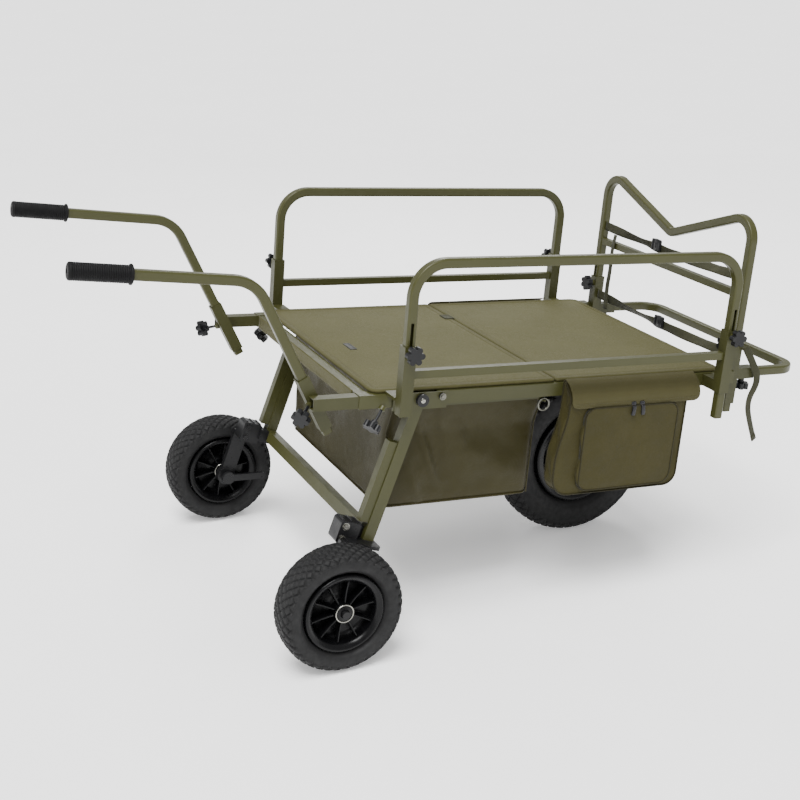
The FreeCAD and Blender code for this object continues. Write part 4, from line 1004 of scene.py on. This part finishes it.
def build_buckle(name, node, body):
    """A side-release buckle: open frame, raised prongs and webbing bar."""
    centre = middle(node)
    ahead, up = deck_way(1, 0, 0), deck_way(0, 0, 1)
    points, faces = [], []

    def block(y0, y1, z0, z1, x0, x1, r):
        profile = [(0.4, x0), (0.0, x0 + 0.5), (0.0, x1 - 0.7), (0.7, x1)]
        start = len(points)
        for inset, x in profile:
            for u, v in rounded_outline((y0, z0), (y1, z1), (r,) * 4, inset, 3, 4):
                points.append(centre + AXLE * (u * 0.001) + up * (v * 0.001)
                              + ahead * (x * 0.001))
        count = (len(points) - start) // len(profile)
        faces.extend(sheet_faces(len(profile), count, False, True, start))
        faces.extend(caps(start, start + 3 * count, count))

    block(-17.5, 6.0, -14.6, 14.6, -3.0, 3.0, 4.0)
    block(6.6, 17.5, -14.0, 14.0, -2.4, 2.4, 3.0)
    block(-6.0, 8.0, 9.4, 15.0, -2.6, 3.3, 2.0)
    block(-6.0, 8.0, -15.0, -9.4, -2.6, 3.3, 2.0)
    block(-15.5, -11.5, -11.0, 11.0, -3.4, 3.4, 1.2)
    block(12.0, 15.5, -11.0, 11.0, -3.2, 3.2, 1.2)
    block(-3.0, 3.5, -6.0, 6.0, -3.5, 3.5, 1.5)
    piece(name, points, faces, body, knob_plastic, "knob_plastic", (node,))


build_buckle("panel_buckle", "upper_buckle", "end_panel")
build_buckle("sleeve_buckle", "lower_buckle", "chassis")


def build_tail(name, node, side, route, turns, body):
    """The loose end of a strap, hanging along a smooth line through its route."""
    curve = bpy.data.curves.new(name + "_line", "CURVE")
    curve.dimensions = "3D"
    curve.resolution_u = 14
    spline = curve.splines.new("NURBS")
    spline.points.add(len(route) - 1)
    for spot, (x, z) in zip(spline.points, route):
        spot.co = (*deck(x, side, z), 1.0)
    spline.order_u = 3
    spline.use_endpoint_u = True
    line = place_object(name + "_line", curve)
    path = [v.co.copy() for v in bpy.data.meshes.new_from_object(line).vertices]
    bpy.data.objects.remove(line)
    ways = []
    for k in range(len(path)):
        t = k / (len(path) - 1)
        angle = turns[0] + (turns[1] - turns[0]) * (t * t * (3.0 - 2.0 * t))
        ways.append(deck_way(math.sin(angle), math.cos(angle), 0.0))
    made = strip(name, path, ways, 0.016, 0.0018, body, webbing, slot="webbing",
                 replaced=(node,))
    tip, before = path[-1], path[-4]
    strip(name + "_folded_end", [before + (tip - before) * (k / 3.0) for k in range(4)],
          ways[-4:], 0.0158, 0.0034, body, webbing, slot="webbing").parent = made


build_tail("strap_tail_right", "strap_tail_near", -307.0,
           [(351, -4), (380, -43), (405, -85), (380, -135), (402, -194), (420, -230)],
           (1.9, 1.3), "chassis")
build_tail("strap_tail_left", "strap_tail_far", 219.0,
           [(331, 138), (325, 108), (328, 50), (324, -5), (328, -55)],
           (0.2, 0.0), "end_panel")

# ------------------------------------------------------------ small fittings
for side, way in SIDES:
    seat = deck(PIVOT_X, 0.0, PIVOT_Z)
    bolt_low, bolt_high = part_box("leg_pivot_bolts")
    seat.y = bolt_high.y if way > 0 else bolt_low.y
    dome = [(0.0004, -0.0006), (0.0004, 0.0022), (0.0030, 0.0020), (0.0048, 0.0012),
            (0.0056, 0.0), (0.0056, -0.0006)]
    turned("pivot_centre_" + side, dome, seat, AXLE * way, 40, "chassis", steel,
           "plated_steel")

RAKE = Matrix.Rotation(math.radians(17.0), 3, "Y")
LEG_FOOT = -312.5


def leg(x, y, z):
    """A point of the raked leg's own frame, whose origin is on its pivot."""
    raked = RAKE @ Vector((x, 0.0, z))
    return deck(raked.x + PIVOT_X, y, raked.z + PIVOT_Z)


def leg_way(x, y, z):
    """A direction in the raked leg's frame."""
    raked = RAKE @ Vector((x, 0.0, z))
    return deck_way(raked.x, y, raked.z)


def hex_bolt(name, seat, way, across, body, material, slot, high=0.0042):
    """A bolt head with a washer under it and a chamfered top."""
    points, faces = lathe([(0.0008, -0.0004), (across * 0.78, -0.0004),
                           (across * 0.8, 0.0002), (across * 0.78, 0.0010),
                           (0.0008, 0.0010)], seat, way, 36)
    side = way.orthogonal().normalized()
    up = way.cross(side)
    start = len(points)
    rings = [(0.58, 0.0010), (0.58, high * 0.82), (0.53, high), (0.36, high),
             (0.30, high - 0.0004), (0.06, high - 0.0004)]
    for radius, level in rings:
        for k in range(6):
            turn = math.radians(60.0 * k + 15.0)
            points.append(seat + (side * math.cos(turn) + up * math.sin(turn))
                          * (across * radius) + way * level)
    faces += sheet_faces(len(rings), 6, False, True, start)
    faces += caps(start, start + (len(rings) - 1) * 6, 6)[1:]
    return piece(name, points, faces, body, material, slot, smooth=False)


def casting_rib(name, spots, tall):
    """A rib along a line of leg-frame points on a casting, standing up from it."""
    strip(name, [leg(*spot) for spot in spots], [leg_way(0, 0, 1)] * len(spots), tall,
          0.0034, "leg_frame", casting, slot="black_casting")


for side, way in SIDES:
    out = AXLE * way
    for x, z, tag in ((-64.0, 22.0, "upper"), (-64.0, -4.0, "lower")):
        hex_bolt("bracket_bolt_%s_%s" % (tag, side), leg(x, way * 320.0, LEG_FOOT + z),
                 out, 0.0105, "leg_frame", steel, "plated_steel")
        hex_bolt("bracket_nut_%s_%s" % (tag, side), leg(x, way * 280.0, LEG_FOOT + z),
                 -out, 0.0105, "leg_frame", black_steel, "black_steel")
    for k, x in enumerate((-70.0, -53.0, -36.0)):
        casting_rib("bracket_top_rib_%d_%s" % (k, side), [
            (x, way * (283.0 + 34.0 * m / 5.0), LEG_FOOT + 33.6) for m in range(6)], 0.0030)
    for k, y in enumerate((290.0, 313.0, 337.0)):
        casting_rib("bracket_foot_rib_%d_%s" % (k, side), [
            (-20.0 + 36.0 * m / 6.0, way * y, LEG_FOOT - 8.2) for m in range(7)], 0.0024)
    seat = deck(-412.0, 0.0, -67.0)
    seat.y = way * 0.3216
    hex_bolt("stop_bolt_head_" + side, seat, out, 0.0092, "chassis", dull_steel,
             "plated_steel", 0.0034)

# ------------------------------------------------------------------- the set
floor_z = cad_box[0].z
size = 150.0
floor = piece("studio_floor", [(-size, -size, floor_z), (size, -size, floor_z),
                               (size, size, floor_z), (-size, size, floor_z)],
              [(0, 1, 2, 3)], None, lid_cloth, smooth=False)
n = Nodes("studio_floor_paint")
n.finish(n.ramp(n.noise(1.2), [(0.3, (0.92, 0.92, 0.92)), (0.7, (0.95, 0.95, 0.95))]),
         n.spread(n.noise(9.0), 0.7, 0.85), Emission_Color=(1.0, 1.0, 1.0, 1.0),
         Emission_Strength=0.3)
floor.data.materials[0] = n.material

world = bpy.context.scene.world or bpy.data.worlds.new("studio")
bpy.context.scene.world = world
world.use_nodes = True
sky = world.node_tree.nodes["Background"]
sky.inputs["Color"].default_value = (1.0, 1.0, 1.0, 1.0)
sky.inputs["Strength"].default_value = 0.8


def lamp(name, place, aim, size, power):
    light = bpy.data.lights.new(name, "AREA")
    light.size, light.energy = size, power
    made = place_object(name, light)
    made.location = place
    made.rotation_mode = "QUATERNION"
    made.rotation_quaternion = (Vector(aim) - Vector(place)).to_track_quat("-Z", "Y")


lamp("gloss_light", (-1.4, -2.6, 3.2), (0.0, 0.0, 0.4), 1.4, 60.0)
lamp("rim_light", (1.6, 2.8, 2.6), (0.0, 0.0, 0.5), 1.2, 45.0)
sun = bpy.data.lights.new("overhead", "SUN")
sun.energy, sun.angle = 5.0, math.radians(32.0)
overhead = place_object("overhead", sun)
overhead.rotation_euler = (math.radians(14.0), math.radians(-16.0), 0.0)
